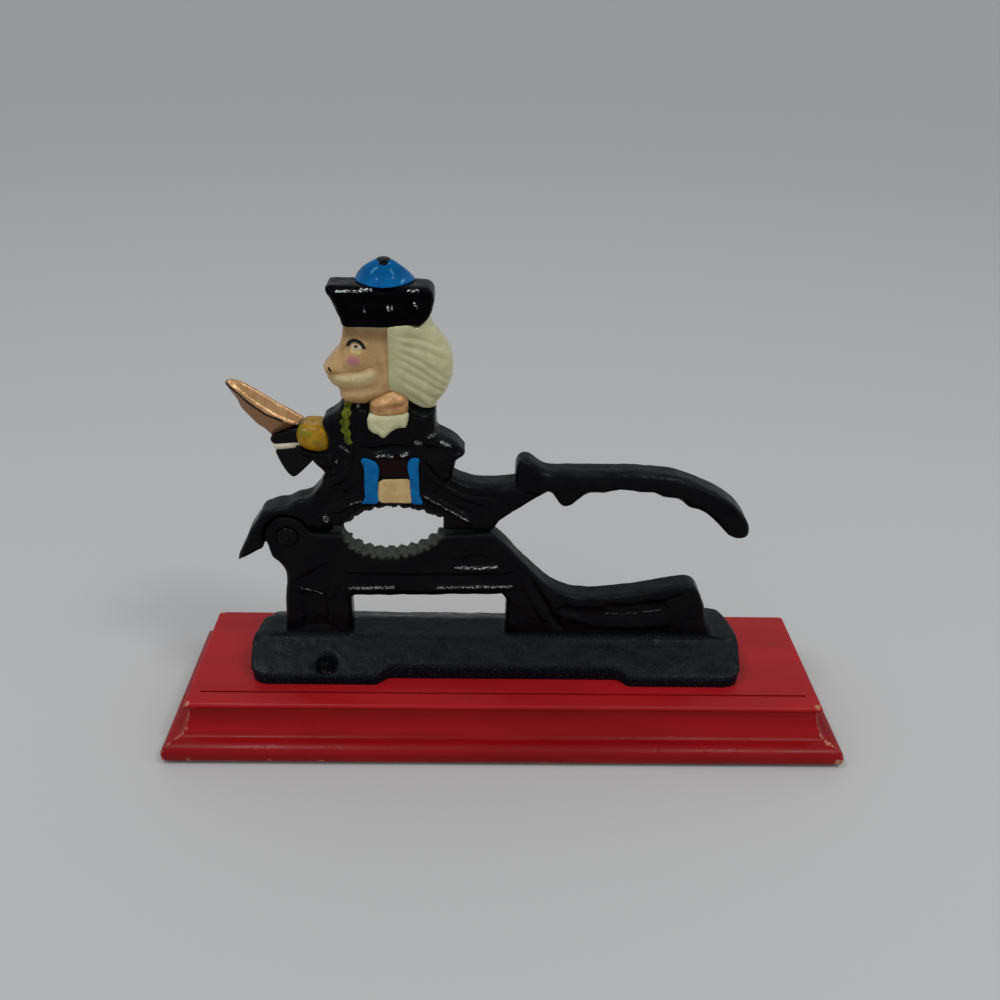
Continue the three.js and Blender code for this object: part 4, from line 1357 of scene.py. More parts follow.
@dataclass
class Frame:
    """The cast frame, its rivet and its two wood screws."""

    voxel: float = 0.6
    edge_reach: float = 2.4
    edge_least: float = 0.76
    plate_top: float = 12.0
    web_rise: float = 2.5
    lug_edge: Point = (9.5, 11.5)
    web_edge: Point = (10.5, 15.0)
    core: float = 3.2
    relief_core: float = 4.0
    foot_edge: Point = (0.2, 1.2)
    plate_passes: int = 10
    skin_height: float = 0.22
    skin_size: float = 6.0
    rivet_radius: float = 4.0
    rivet_rise: float = 1.9
    rivet_seat: float = 5.55
    shank: float = 2.5
    rivet_steps: int = 48
    crisp: float = 50.0
    screw_voxel: float = 0.16
    jaw: tuple[Point, Point] = ((-61.0, 45.0), (-22.5, 59.0))
    web_share: float = 0.45
    jaw_share: float = 0.42
    lip_top: float = 4.2
    ends: tuple[PlateEnd, ...] = (
        PlateEnd(-1, -85.3, 1.6, ((-21.5, -95.7), (-8.9, -95.4), (-4.6, -94.6), (4.3, -93.1), (7.8, -90.8),
                                  (8.4, -86.8), (12.0, -85.3))),
        PlateEnd(1, 80.5, -0.4, ((-21.5, 88.2), (-11.5, 88.8), (-2.9, 88.5), (7.3, 86.8), (13.1, 84.6),
                                 (14.2, 81.7), (18.0, 80.5))),
    )
    plate_fade: Point = (0.3, 1.3)
    end_run: float = 18.0
    back_push: float = 7.8
    back_edge: Point = (0.0, 6.0)
    back_run: Point = (60.0, 72.0)
    teeth: Teeth = Teeth(
        ((-23.81, 56.4), (-25.98, 54.4), (-28.88, 51.94), (-32.5, 49.85), (-36.12, 48.48), (-41.73, 47.44),
         (-47.16, 47.39), (-50.96, 48.03), (-54.58, 49.39), (-57.3, 51.4), (-60.01, 55.49)),
        (-58.9, -55.3, -51.4, -47.5, -43.5, -39.4, -35.6, -31.8, -28.1, -24.6), 4.2)
    nudges: tuple[Nudge, ...] = (
        Nudge(((-55.0, 31.5), (-4.0, 31.5)), 4.0, (0.0, -1.6)),
        Nudge(((-58.6, 31.2),), 3.5, (0.8, -0.4)),
        Nudge(((1.2, 31.2),), 3.8, (-1.0, -0.4)),
        Nudge(((-88.5, 45.0),), 6.0, (-1.3, -0.9)),
        Nudge(((-84.5, 42.0), (-84.2, 16.0)), 4.0, (-0.5, 0.0)),
        Nudge(((-58.8, 55.4),), 3.2, (-0.6, -1.2)),
        Nudge(((30.0, 29.0), (50.0, 28.0), (68.0, 33.5)), 5.0, (0.0, 0.6)),
        Nudge(((72.0, 33.0), (73.0, 22.0)), 5.0, (0.9, 0.0)),
    )
    forms: tuple[Stroke | Panel, ...] = (
        Stroke(((-78.0, 36.9), (-72.8, 39.4), (-69.2, 43.2), (-65.6, 44.3), (-62.4, 42.2), (-59.6, 40.0),
                (-47.3, 39.4), (-20.0, 39.8), (2.0, 40.3)), 1.5, -0.6),
        Stroke(((-58.9, 33.9), (-50.6, 34.4), (-41.9, 34.8)), 1.7, 0.45),
        Stroke(((-26.1, 34.9), (-11.8, 35.2), (2.1, 35.6)), 1.7, 0.45),
        Stroke(((-19.4, 43.4), (-13.8, 43.0), (-9.3, 43.1), (-3.8, 43.8)), 1.3, 0.45),
        Stroke(((-19.4, 46.0), (-16.8, 49.3), (-12.4, 51.0), (-7.9, 50.6), (-4.2, 47.4)), 1.2, -0.4),
        Stroke(((-77.2, 34.2), (-73.9, 33.4), (-69.3, 31.4)), 1.4, 0.5),
        Stroke(((-62.8, 33.6), (-64.6, 28.3), (-65.5, 14.0)), 1.6, -0.45),
        Stroke(((6.8, 41.5), (11.5, 33.5), (16.5, 24.5), (20.5, 17.0)), 2.0, -0.8),
        Stroke(((9.5, 41.0), (14.6, 33.0), (19.4, 25.5)), 2.4, 0.5),
        Stroke(((22.0, 33.5), (32.0, 27.5), (45.0, 25.8), (58.0, 27.4), (66.0, 30.5)), 2.0, -0.6),
        Stroke(((18.0, 24.0), (32.0, 18.6), (46.0, 17.4), (62.0, 18.6)), 2.2, 0.5),
        Stroke(((-54.0, 47.0), (-44.0, 44.6), (-34.0, 44.4), (-24.0, 46.2)), 3.0, 0.35),
        Stroke(((4.0, 20.0), (5.5, 33.0)), 1.4, -0.3),
    )
    # Painted glints along the lit ridges, with some pale wear.
    worn: tuple[Stroke, ...] = (
        Stroke(((-58.9, 34.0), (-50.6, 34.4), (-42.5, 34.6)), 1.2, 0.8),
        Stroke(((-26.1, 34.8), (-11.8, 35.2), (2.1, 35.5)), 1.0, 0.8),
        Stroke(((-19.0, 43.6), (-13.8, 43.2), (-9.3, 43.3), (-3.8, 44.0)), 1.0, 0.9),
        Stroke(((-77.0, 33.6), (-73.9, 32.9), (-69.5, 31.0)), 1.0, 0.8),
        Stroke(((38.0, 23.0), (44.0, 22.4), (52.0, 23.6), (60.0, 24.6)), 1.0, 0.5),
    )

    def build(self, nodes: Nodes, iron: bpy.types.Material) -> None:
        """Build and dress the frame's pieces.

        Args:
            nodes: The CAD nodes by name.
            iron: The castings' finish.
        """
        self.casting(nodes["frame_casting"], iron)
        steel = BlackSteel("rubbed_black_steel").material()
        self.rivet(steel)
        for name in ("base_screw_front", "base_screw_back"):
            clay = Clay.copied(name + "_turned", [nodes[name]], self.screw_voxel)
            clay.smooth(2)
            clay.finished(steel, Body.BASE, "screw_steel", name)

    def casting(self, node: bpy.types.Object, iron: bpy.types.Material) -> None:
        """Shape the frame's casting.

        Args:
            node: Its CAD node.
            iron: Its finish.
        """
        clay = Clay.copied("frame_iron", [node], self.voxel)
        height = clay.points[:, 2].copy()
        upright = eased(height, self.plate_top, self.plate_top + self.web_rise)
        lug = eased(gap_to_line(clay.plan, (PIVOT,)), *self.lug_edge)
        gap = Silhouette([node], 0.4).distance(clay.plan)
        teeth = teeth_share(clay.plan, gap, self.jaw)
        open_part = upright * lug * (1 - teeth)
        clay.crown(gap, self.edge_reach, self.edge_least, keep=self.core,
                   where=upright * lug * (1 - 0.6 * teeth))
        clay.smooth(1, 0.5, 1 - teeth)
        clay.relief(self.forms, keep=self.relief_core, where=open_part)
        floor = eased(height, *self.foot_edge)
        clay.smooth(self.plate_passes, 0.6, (1 - upright) * floor)
        clay.smooth(1, 0.4, open_part)
        web = self.web_share * upright * eased(gap_to_line(clay.plan, (PIVOT,)), *self.web_edge)
        jaw = 1 + self.jaw_share / self.web_share * teeth_share(clay.plan, gap, self.jaw, 2.5)
        clay.points[:, 1] -= np.clip(clay.points[:, 1], 0, None) * web * jaw
        clay.nudge(self.nudges)
        self.steepen(clay, height)
        self.teeth.recut(clay)
        clay.cast_skin(self.skin_height, self.skin_size, floor * lug * (1 - teeth))
        clay.mark("worn", self.worn)
        clay.paint("bare", teeth_share(clay.plan, gap, self.jaw, 0.3))
        clay.finished(iron, Body.BASE, "black_casting", node.name)

    def steepen(self, clay: Clay, height: np.ndarray) -> None:
        """Push the top of the base plate out at both ends, so that they stand nearly upright.

        Args:
            clay: The frame's casting.
            height: Each point's height above the deck in the CAD node.
        """
        fade_low, fade_high = self.plate_fade
        plate = 1 - eased(height, self.plate_top + fade_low, self.plate_top + fade_high)
        rise = np.clip((height - self.lip_top) / (self.plate_top - self.lip_top), 0, 1) * plate
        x, y = clay.points[:, 0].copy(), clay.points[:, 1]
        y += self.back_push * rise * eased(y, *self.back_edge) * eased(x, *self.back_run)
        for end in self.ends:
            crest = end.side * end.crest
            reach = eased(end.side * x, crest - self.end_run, crest)
            edge = np.interp(y, *zip(*end.top)) - end.crest
            clay.points[:, 0] += reach * (end.bottom * plate * (1 - rise) + edge * rise)

    def rivet(self, steel: bpy.types.Material) -> None:
        """Turn the pivot's rivet: a shank with a domed head on each side.

        Args:
            steel: Its finish.
        """
        shape = bmesh.new()
        angles = [math.pi / 2 * i / ARC_STEPS for i in range(ARC_STEPS + 1)]
        section = [(self.rivet_radius * math.sin(angle),
                    -self.rivet_seat - self.rivet_rise * math.cos(angle)) for angle in angles]
        section.append((self.shank, -self.rivet_seat))
        section += [(radius, -depth) for radius, depth in reversed(section)]
        x, z = PIVOT
        verts = [shape.verts.new(((x + radius) * MM, (MIDDLE + depth) * MM, (DECK + z) * MM))
                 for radius, depth in section]
        edges = [shape.edges.new(pair) for pair in zip(verts, verts[1:])]
        centre = (x * MM, MIDDLE * MM, (DECK + z) * MM)
        bmesh.ops.spin(shape, geom=verts + edges, cent=centre, axis=(0, 1, 0), angle=2 * math.pi,
                       steps=self.rivet_steps, use_merge=True, use_duplicate=False)
        bmesh.ops.remove_doubles(shape, verts=shape.verts, dist=1e-6)
        bmesh.ops.recalc_face_normals(shape, faces=shape.faces)
        sharpened(shape, self.crisp)
        mesh = bpy.data.meshes.new("rivet_turned")
        shape.to_mesh(mesh)
        shape.free()
        placed("rivet_turned", mesh, steel, Body.BASE, "rivet_steel", "pivot_rivet")


@dataclass
class Lever:
    """The cast lever: tail, tongue, legs, upper jaw and handle, with the soldier's black coat."""

    voxel: float = 0.5
    pivot_clear: Point = (9.6, 12.5)
    core: float = 2.6
    relief_core: float = 3.0
    skin_height: float = 0.16
    skin_size: float = 5.0
    trim_foot: float = 6.4
    trim_top: float = 7.95
    panel_top: float = 7.75
    panel_proud: float = 0.1
    edge_reach: float = 2.8
    edge_least: float = 0.72
    coat_reach: float = 4.6
    coat_least: float = 0.5
    coat_foot: Point = (70.0, 80.0)
    proud: float = 0.3
    trim_voxel: float = 0.28
    jaw: tuple[Point, Point] = ((-61.0, 56.0), (-22.5, 72.5))
    cuts: dict[str, Line] = field(default_factory=lambda: {
        "braid": ((-55.1, 109.6), (-54.3, 108.0), (-55.5, 106.9), (-54.4, 105.4), (-56.1, 103.9),
                  (-54.8, 101.9), (-56.4, 100.4), (-54.7, 98.2), (-55.9, 96.6), (-54.4, 94.4),
                  (-56.6, 93.6), (-58.1, 96.0), (-57.1, 97.6), (-59.2, 99.3), (-57.8, 100.6),
                  (-59.4, 102.5), (-57.5, 103.8), (-58.6, 105.6), (-57.1, 106.6), (-57.7, 108.2),
                  (-56.6, 109.6)),
        "trouser_panel": ((-46.4, 80.5), (-40.0, 80.7), (-34.6, 80.8), (-34.2, 76.0), (-33.9, 71.0),
                          (-40.0, 71.0), (-47.2, 71.0), (-46.8, 76.0)),
        "stripe_left": ((-52.5, 87.6), (-51.8, 88.7), (-50.3, 88.7), (-48.7, 88.2), (-46.9, 87.2),
                        (-46.0, 85.1), (-45.9, 83.3), (-46.5, 80.8), (-46.8, 76.8), (-46.7, 73.4),
                        (-46.5, 70.9), (-49.8, 70.7), (-53.2, 70.7), (-52.4, 71.7), (-51.2, 73.4),
                        (-51.6, 76.8), (-51.3, 80.8), (-51.2, 84.1), (-51.6, 86.2)),
        "stripe_right": ((-35.9, 87.4), (-35.2, 88.6), (-34.2, 89.1), (-32.6, 89.1), (-31.6, 88.6),
                         (-32.1, 87.2), (-32.2, 84.8), (-32.1, 80.8), (-32.1, 76.8), (-31.8, 74.1),
                         (-30.9, 71.9), (-31.0, 70.7), (-33.0, 70.7), (-34.9, 70.8), (-35.0, 73.4),
                         (-35.3, 76.8), (-35.4, 80.8), (-35.8, 83.5), (-36.2, 85.5)),
    })
    forms: tuple[Stroke | Panel, ...] = (
        # The right sleeve.
        Stroke(((-28.5, 96.2), (-24.6, 97.0), (-21.1, 95.9), (-18.9, 93.6)), 3.6, 1.0),
        Stroke(((-27.5, 92.2), (-22.9, 91.4), (-19.0, 91.0)), 2.6, -1.1),
        Stroke(((-30.6, 99.0), (-31.4, 95.0), (-29.0, 91.0)), 1.8, -0.7),
        Stroke(((-28.0, 88.0), (-23.5, 86.5)), 2.2, 0.6),
        # The upright back of the collar, and the chest.
        Stroke(((-31.2, 107.5), (-30.9, 103.6), (-31.7, 99.5)), 2.4, 0.8),
        Stroke(((-35.4, 108.5), (-36.0, 102.6), (-34.8, 97.0)), 2.0, -0.9),
        Stroke(((-50.6, 107.0), (-51.4, 101.0), (-50.6, 96.0)), 2.2, 0.55),
        Stroke(((-54.0, 108.0), (-53.6, 100.0), (-52.6, 94.0)), 1.5, -0.5),
        Stroke(((-60.2, 108.0), (-61.4, 103.0), (-60.6, 97.0)), 1.8, -0.7),
        Stroke(((-58.8, 109.0), (-62.6, 104.4)), 2.0, 0.6),
        # Folds over the belly, and the belt's two bosses.
        Stroke(((-52.3, 94.4), (-48.2, 93.9), (-43.7, 95.1), (-38.5, 95.3)), 1.7, 0.6),
        Stroke(((-52.3, 92.4), (-47.5, 91.8), (-42.0, 93.0), (-36.7, 92.8), (-32.0, 92.2)), 1.4, -0.8),
        Stroke(((-47.4, 89.6), (-44.0, 90.6), (-41.0, 89.6)), 1.7, 1.0),
        Stroke(((-38.0, 89.9), (-36.0, 90.4)), 1.9, 1.1),
        Stroke(((-46.0, 87.6), (-38.0, 87.8)), 1.2, -0.5),
        # The left arm.
        Stroke(((-60.8, 94.6), (-57.6, 93.0), (-55.8, 90.0), (-57.0, 86.4)), 1.8, 0.9),
        Stroke(((-62.0, 90.6), (-64.6, 86.2)), 3.4, 0.9),
        Stroke(((-54.6, 92.6), (-53.8, 88.4), (-55.4, 84.6)), 1.4, -0.8),
        # Legs: folds that sweep down to the tail and to the handle.
        Stroke(((-57.6, 86.6), (-60.7, 81.8), (-64.5, 77.8), (-69.7, 73.7)), 1.5, -0.8),
        Stroke(((-55.8, 85.4), (-59.2, 80.6), (-63.4, 76.2), (-68.6, 72.6)), 1.3, 0.5),
        Stroke(((-54.3, 84.3), (-58.0, 79.5), (-62.5, 74.6), (-67.7, 71.3)), 1.2, -0.6),
        Stroke(((-53.1, 78.7), (-56.8, 74.7), (-61.3, 71.4), (-66.5, 68.6)), 1.7, -0.8),
        Stroke(((-30.3, 87.0), (-26.8, 82.3), (-22.6, 78.4), (-17.6, 75.2), (-11.2, 73.3), (-4.0, 72.4)),
               1.6, -0.9),
        Stroke(((-28.6, 87.6), (-25.0, 82.8), (-20.8, 79.6), (-15.6, 77.2)), 1.6, 0.5),
        Stroke(((-30.4, 84.6), (-26.4, 79.9), (-21.8, 75.9), (-16.4, 73.0), (-10.0, 71.0)), 1.3, 0.5),
        Stroke(((-30.4, 82.2), (-26.2, 77.5), (-21.2, 73.5), (-15.4, 70.8), (-8.9, 68.8)), 1.3, -0.7),
        Stroke(((-30.8, 78.2), (-26.2, 73.9), (-21.2, 70.7), (-16.9, 67.9), (-13.6, 66.6)), 1.3, -0.7),
        # Ribs above the jaw.
        Stroke(((-31.5, 74.8), (-28.4, 71.6), (-23.0, 68.6), (-18.3, 65.8), (-14.4, 63.6)), 1.6, 0.7),
        Stroke(((-52.3, 71.9), (-57.0, 69.4), (-61.3, 66.8)), 1.6, 0.7),
        Stroke(((-66.2, 64.9), (-65.6, 62.9)), 2.2, 0.9),
        # Handle: a long flat facet below a soft ridge.
        Stroke(((6.0, 76.4), (20.0, 77.4), (40.0, 77.6), (54.0, 76.6), (66.0, 73.2), (78.0, 66.0)),
               1.8, 0.5),
        Stroke(((-8.0, 74.6), (0.0, 76.4), (8.0, 74.6)), 1.7, -0.5),
        Panel(((60.0, 72.0), (74.0, 66.6), (84.0, 57.6), (88.0, 56.6), (88.0, 62.0), (80.0, 70.0),
               (68.0, 76.0)), 2.5, -0.45),
    )
    # Painted glints on the coat's lit folds and belt bosses, and pale specks at the collar.
    worn: tuple[Stroke, ...] = (
        Stroke(((-28.4, 97.5), (-26.6, 97.5)), 1.0, 0.9),
        Stroke(((-24.1, 94.8), (-21.2, 93.3)), 0.9, 1.0),
        Stroke(((-33.0, 95.0), (-31.6, 94.4)), 1.2, 0.9),
        Stroke(((-59.0, 93.6), (-57.5, 92.6), (-56.2, 91.2)), 0.9, 0.8),
        Stroke(((-46.4, 89.8), (-43.8, 90.2), (-41.4, 89.8)), 1.1, 0.95),
        Stroke(((-37.7, 90.4), (-36.4, 90.8)), 1.2, 1.15),
        Stroke(((-60.8, 87.6), (-60.6, 87.0)), 0.6, 1.6),
        Stroke(((-30.6, 74.6), (-27.6, 71.8), (-23.4, 69.3)), 0.6, 0.8),
        Stroke(((-22.6, 68.6), (-18.3, 66.0), (-14.7, 63.9)), 0.8, 0.9),
        Stroke(((-52.5, 72.2), (-57.0, 69.9)), 0.6, 0.7),
        Stroke(((-66.2, 65.0), (-65.8, 63.2)), 1.7, 0.95),
        Stroke(((-52.9, 108.1), (-52.6, 107.4)), 0.9, 1.7),
        Stroke(((-49.7, 108.3), (-49.3, 107.6)), 1.0, 1.7),
    )
    nudges: tuple[Nudge, ...] = (
        Nudge(((-83.0, 68.5), (-76.0, 71.0)), 6.0, (-0.5, 1.4)),
        Nudge(((-77.0, 67.6),), 4.5, (-0.2, 1.2)),
        Nudge(((-74.0, 71.5), (-66.5, 76.5)), 7.5, (-1.3, 2.1)),
        Nudge(((-65.0, 84.5),), 4.5, (1.6, 0.0)),
        Nudge(((-97.5, 49.0), (-94.0, 57.0)), 6.0, (-1.2, -0.9)),
        Nudge(((-23.0, 98.5),), 6.0, (0.2, 0.5)),
        Nudge(((-18.2, 95.0),), 4.2, (1.4, -0.2)),
        Nudge(((-16.0, 90.5),), 3.5, (0.6, 0.0)),
        Nudge(((-17.0, 87.0),), 4.0, (-0.8, 0.3)),
        Nudge(((-63.6, 101.6),), 5.5, (-1.8, 0.5)),
        Nudge(((-22.5, 59.6), (-6.0, 60.0)), 4.5, (0.0, -2.1)),
        Nudge(((4.6, 90.5),), 4.0, (0.0, -0.9)),
        Nudge(((20.0, 80.8), (46.0, 80.4)), 4.0, (0.0, 0.4)),
        Nudge(((78.0, 77.5), (86.0, 70.0), (89.0, 62.0)), 5.0, (-0.7, -0.5)),
    )
    teeth: Teeth = Teeth(
        ((-59.61, 61.12), (-57.69, 63.18), (-54.65, 65.72), (-50.24, 67.79), (-44.81, 69.11),
         (-39.34, 69.2), (-33.95, 68.26), (-30.33, 67.32), (-26.71, 65.72), (-23.88, 64.5)),
        (-57.6, -54.3, -50.4, -46.3, -42.0, -37.7, -33.3, -28.5, -24.4), 4.7, 0.95, 0.75)
    grip: float = 0.9
    grip_start: Point = (-16.0, -6.0)
    grip_end: Point = (58.0, 72.0)

    def build(self, nodes: Nodes, outline: Silhouette,
              iron: bpy.types.Material) -> None:
        """Shape and dress the lever and the trims painted on the coat.

        Args:
            nodes: The CAD nodes by name.
            outline: The outline of everything that rides on the lever.
            iron: The castings' finish.
        """
        trims = [nodes[name + side] for name in TRIMS for side in ("_front", "_back")]
        clay = Clay.copied("lever_iron", [nodes["lever_casting"], *trims], self.voxel)
        near = gap_to_line(clay.plan, (PIVOT,))
        gap = outline.distance(clay.plan)
        clear = eased(near, *self.pivot_clear) * (1 - teeth_share(clay.plan, gap, self.jaw))
        clay.paint("bare", 0.3 * teeth_share(clay.plan, gap, self.jaw, 0.5))
        self.shaped(clay, outline, clear)
        clay.relief(self.beds(), keep=self.relief_core)
        x = clay.points[:, 0]
        clay.thicken(self.grip, eased(x, *self.grip_start) * (1 - 0.6 * eased(x, *self.grip_end)))
        self.teeth.recut(clay)
        clay.cast_skin(self.skin_height, self.skin_size, clear)
        clay.mark("worn", self.worn)
        clay.mark("maroon", (Stroke(((-44.0, 85.2), (-38.0, 85.2)), 4.6, 2.2),))
        clay.finished(iron, Body.LEVER, "black_casting", "lever_casting")
        self.paint_trims(outline)

    def shaped(self, clay: Clay, outline: Silhouette, clear: np.ndarray | None = None) -> None:
        """Round a piece of the lever and give it the lever's relief.

        Args:
            clay: The piece.
            outline: The outline of everything that rides on the lever.
            clear: A share for every point that keeps the pivot's fit as it is.
        """
        coat = eased(clay.points[:, 2], *self.coat_foot)
        reach = self.edge_reach + (self.coat_reach - self.edge_reach) * coat
        least = self.edge_least + (self.coat_least - self.edge_least) * coat
        clay.crown(outline.distance(clay.plan), reach, least, keep=self.core, where=clear)
        clay.smooth(1, 0.5, clear)
        clay.relief(self.forms, keep=self.relief_core, where=clear)
        clay.smooth(2, 0.5, clear)
        clay.nudge(self.nudges)

    def beds(self) -> tuple[Panel, ...]:
        """Return the shallow beds that the painted trims lie in."""
        return tuple(Panel(rounded(cut, 1), 0.8, -0.6) for cut in self.cuts.values())

    def paint_trims(self, outline: Silhouette) -> None:
        """Shape and dress the braid, the trouser panels and the blue stripes.

        Args:
            outline: The outline of everything that rides on the lever.
        """
        blue = Enamel("stripe_blue", (0, 106, 166), (0, 90, 150), roughness=0.3, specular=0.12).material()
        finishes = {
            "braid": Enamel("braid_olive", (96, 104, 20), (58, 66, 12), cloud=2.2, roughness=0.42,
                            specular=0.12).material(),
            "trouser_panel": Enamel("trouser_buff", (206, 178, 126), (190, 160, 108),
                                    roughness=0.4).material(),
            "stripe_left": blue,
            "stripe_right": blue,
        }
        slots = {"braid": "olive_enamel", "trouser_panel": "khaki_enamel",
                 "stripe_left": "blue_enamel", "stripe_right": "blue_enamel"}
        for trim in TRIMS:
            for side, facing in (("_front", -1), ("_back", 1)):
                name = trim + side + "_paint"
                flat = trim == "trouser_panel"
                top = self.panel_top if flat else self.trim_top
                near, far = sorted((facing * self.trim_foot, facing * top))
                edge = rounded(self.cuts[trim], 1 if flat else 2)
                clay = Clay.cut(name, edge, near, far, self.trim_voxel)
                self.shaped(clay, outline)
                clay.points[:, 1] += facing * (self.panel_proud if flat else self.proud)
                clay.finished(finishes[trim], Body.LEVER, slots[trim], trim + side)


@dataclass
class Head:
    """The soldier's head: hat with its blue crown and button, face, moustache and hair."""

    voxel: float = 0.35
    swell: float = 0.3
    hat_reach: float = 2.6
    hat_nudges: tuple[Nudge, ...] = (
        Nudge(((-59.5, 144.0), (-58.0, 140.0)), 4.0, (1.0, 0.0)),
        Nudge(((-61.2, 148.6),), 3.0, (-0.4, 0.4)),
    )
    hat_forms: tuple[Stroke, ...] = (
        Stroke(((-58.5, 147.4), (-44.0, 147.0), (-29.0, 148.2)), 1.8, 0.5),
        Stroke(((-57.0, 144.4), (-43.0, 144.4), (-29.5, 145.6)), 1.8, -0.4),
        Stroke(((-54.8, 137.0), (-42.0, 136.4), (-31.0, 137.6)), 2.2, 0.5),
        *(Stroke(((x - 1.3, z), (x + 1.3, z)), 2.3, 0.8)
          for x, z in ((-55.4, 144.2), (-48.0, 143.2), (-40.0, 143.6), (-31.5, 144.4))),
    )
    hat_least: float = 0.74
    hat_top: Point = (144.5, 147.0)
    brim_edge: Point = (3.4, 6.6)
    brim_lift: float = 1.2
    face_voxel: float = 0.3
    face_reach: float = 6.5
    face_least: float = 0.42
    hair_reach: float = 8.5
    hair_least: float = 0.3
    tuck: float = 1.6
    strand_pitch: float = 1.5
    strand_depth: float = 0.3
    lock_depth: float = 1.25
    locks: tuple[Line, ...] = (
        ((-38.2, 133.4), (-33.4, 133.0), (-28.4, 131.6), (-24.0, 129.4)),
        ((-39.5, 131.2), (-33.6, 129.9), (-27.7, 128.0), (-22.6, 124.9)),
        ((-38.9, 128.5), (-31.1, 125.1), (-24.4, 120.2), (-21.8, 117.6)),
        ((-38.3, 126.0), (-31.8, 122.3), (-25.1, 117.4), (-22.2, 114.8)),
        ((-39.1, 123.2), (-33.8, 120.1), (-28.5, 117.3), (-24.0, 113.9)),
        ((-39.8, 120.0), (-35.9, 117.2), (-31.2, 114.4), (-26.4, 111.2)),
        ((-40.4, 116.4), (-37.4, 114.2), (-33.4, 111.4), (-29.4, 108.6)),
    )
    dome_voxel: float = 0.3
    dome_stretch: float = 1.7
    dome_lobes: int = 6
    dome_depth: float = 0.03
    hair_lap: float = 1.5
    features: tuple[Stroke, ...] = (
        Stroke(((-53.3, 124.6), (-51.5, 124.4)), 5.0, 0.9),
        Stroke(((-62.5, 121.4), (-60.0, 122.4)), 3.0, 1.1),
        Stroke(((-59.1, 122.2), (-57.3, 124.7), (-55.8, 128.2)), 1.8, -0.6),
        Stroke(((-55.4, 130.2), (-52.3, 132.4), (-49.0, 130.0)), 1.5, 0.45),
        Stroke(((-52.3, 129.2), (-51.4, 129.0)), 1.6, 0.45),
        Stroke(((-45.6, 122.8), (-44.4, 120.3), (-44.7, 117.2), (-46.8, 115.0)), 1.8, -0.4),
        Stroke(((-43.2, 124.0), (-42.8, 117.0)), 2.2, 0.3),
        Stroke(((-58.4, 114.6), (-54.8, 113.9), (-51.4, 113.8), (-48.2, 114.6)), 1.6, -0.5),
        Stroke(((-57.0, 111.4), (-51.5, 111.2), (-46.0, 112.6)), 3.0, 0.7),
    )
    lip_voxel: float = 0.28
    lip_half: float = 7.3
    lip_width: float = 0.9
    lip_bulge: float = 1.0
    lip_nudges: tuple[Nudge, ...] = (
        Nudge(((-47.5, 121.8),), 4.5, (0.1, -0.5)),
    )
    brow: Line = ((-54.8, 129.9), (-54.3, 130.8), (-53.3, 131.6), (-52.1, 131.8), (-50.8, 131.2),
                  (-49.9, 130.2), (-49.5, 129.2))
    specks: Line = ((-47.8, 126.9), (-45.1, 132.9), (-43.1, 132.5), (-56.9, 132.0), (-45.8, 131.8))
    stubble: Line = ((-57.6, 116.4), (-55.2, 117.2), (-52.4, 116.0), (-50.9, 117.4), (-49.6, 116.9),
                     (-54.2, 116.1))
    # Painted glints along the hat's top edge and on its bosses.
    hat_glints: tuple[Stroke, ...] = (
        Stroke(((-57.6, 148.1), (-53.5, 148.2), (-50.0, 148.2)), 0.6, 0.95),
        Stroke(((-49.6, 148.5), (-46.4, 148.5)), 0.85, 0.95),
        Stroke(((-34.6, 148.4), (-31.4, 148.6)), 0.6, 0.95),
        Stroke(((-48.8, 142.6), (-48.6, 141.4)), 0.5, 1.5),
        Stroke(((-41.1, 143.5), (-40.8, 142.2)), 0.6, 1.7),
        Stroke(((-39.9, 143.6), (-39.7, 142.5)), 0.5, 1.5),
        Stroke(((-32.5, 144.8), (-31.9, 144.0), (-31.7, 143.0)), 0.55, 1.4),
    )
    dome_set_back: float = 4.0
    dome_highlights: tuple[Stroke, ...] = (
        Stroke(((-46.4, 153.2), (-45.6, 154.3), (-44.6, 154.8)), 0.75, 0.6),
        Stroke(((-40.3, 154.2), (-39.5, 152.9)), 0.65, 0.55),
        Stroke(((-36.8, 150.3), (-36.2, 150.6)), 0.7, 0.7),
    )
    dome_nudges: tuple[Nudge, ...] = (
        Nudge(((-48.6, 153.6), (-50.6, 151.4)), 3.6, (-0.6, 0.2)),
    )
    button_voxel: float = 0.18
    button_scale: tuple[float, float, float] = (1.15, 1.15, 0.72)
    button_drop: float = 0.45

    def build(self, nodes: Nodes) -> None:
        """Shape and dress the head's pieces.

        Args:
            nodes: The CAD nodes by name.
        """
        outline = Silhouette([nodes[name] for name in HEAD])
        self.hat(nodes["figure_hat"], outline)
        self.crown(nodes["hat_crown"])
        self.button(nodes["hat_button"])
        self.face(nodes["figure_face"], outline)
        self.moustache(nodes["figure_moustache"], outline)
        self.hair(nodes["figure_hair"], outline)

    def hat(self, node: bpy.types.Object, outline: Silhouette) -> None:
        """Shape the black hat, with its brim turned up and a row of bosses round it.

        Args:
            node: Its CAD node.
            outline: The outline of the head.
        """
        black = Enamel("hat_black", (2, 2, 4), (5, 5, 7), roughness=0.2, specular=0.025,
                       depth=0.08, glints=(206, 212, 208)).material()
        clay = Clay.copied("hat_black", [node], self.voxel)
        brim = clay.points[:, 2].min()
        outer = eased(np.abs(clay.points[:, 1]), *self.brim_edge)
        clay.points[:, 2] += (self.brim_lift * outer
                              * (1 - eased(clay.points[:, 2], brim + 1.0, brim + 5.0)))
        gap = outline.distance(clay.plan)
        clay.crown(gap, self.hat_reach, self.hat_least)
        clay.nudge(self.hat_nudges)
        clay.smooth(8, 0.6, eased(clay.points[:, 2], *self.hat_top) * (1 - eased(gap, 1.0, 3.0)))
        clay.smooth(3)
        clay.relief(self.hat_forms)
        clay.cast_skin(0.12, 4.0)
        clay.mark("worn", self.hat_glints)
        clay.finished(black, Body.LEVER, "black_enamel", node.name)

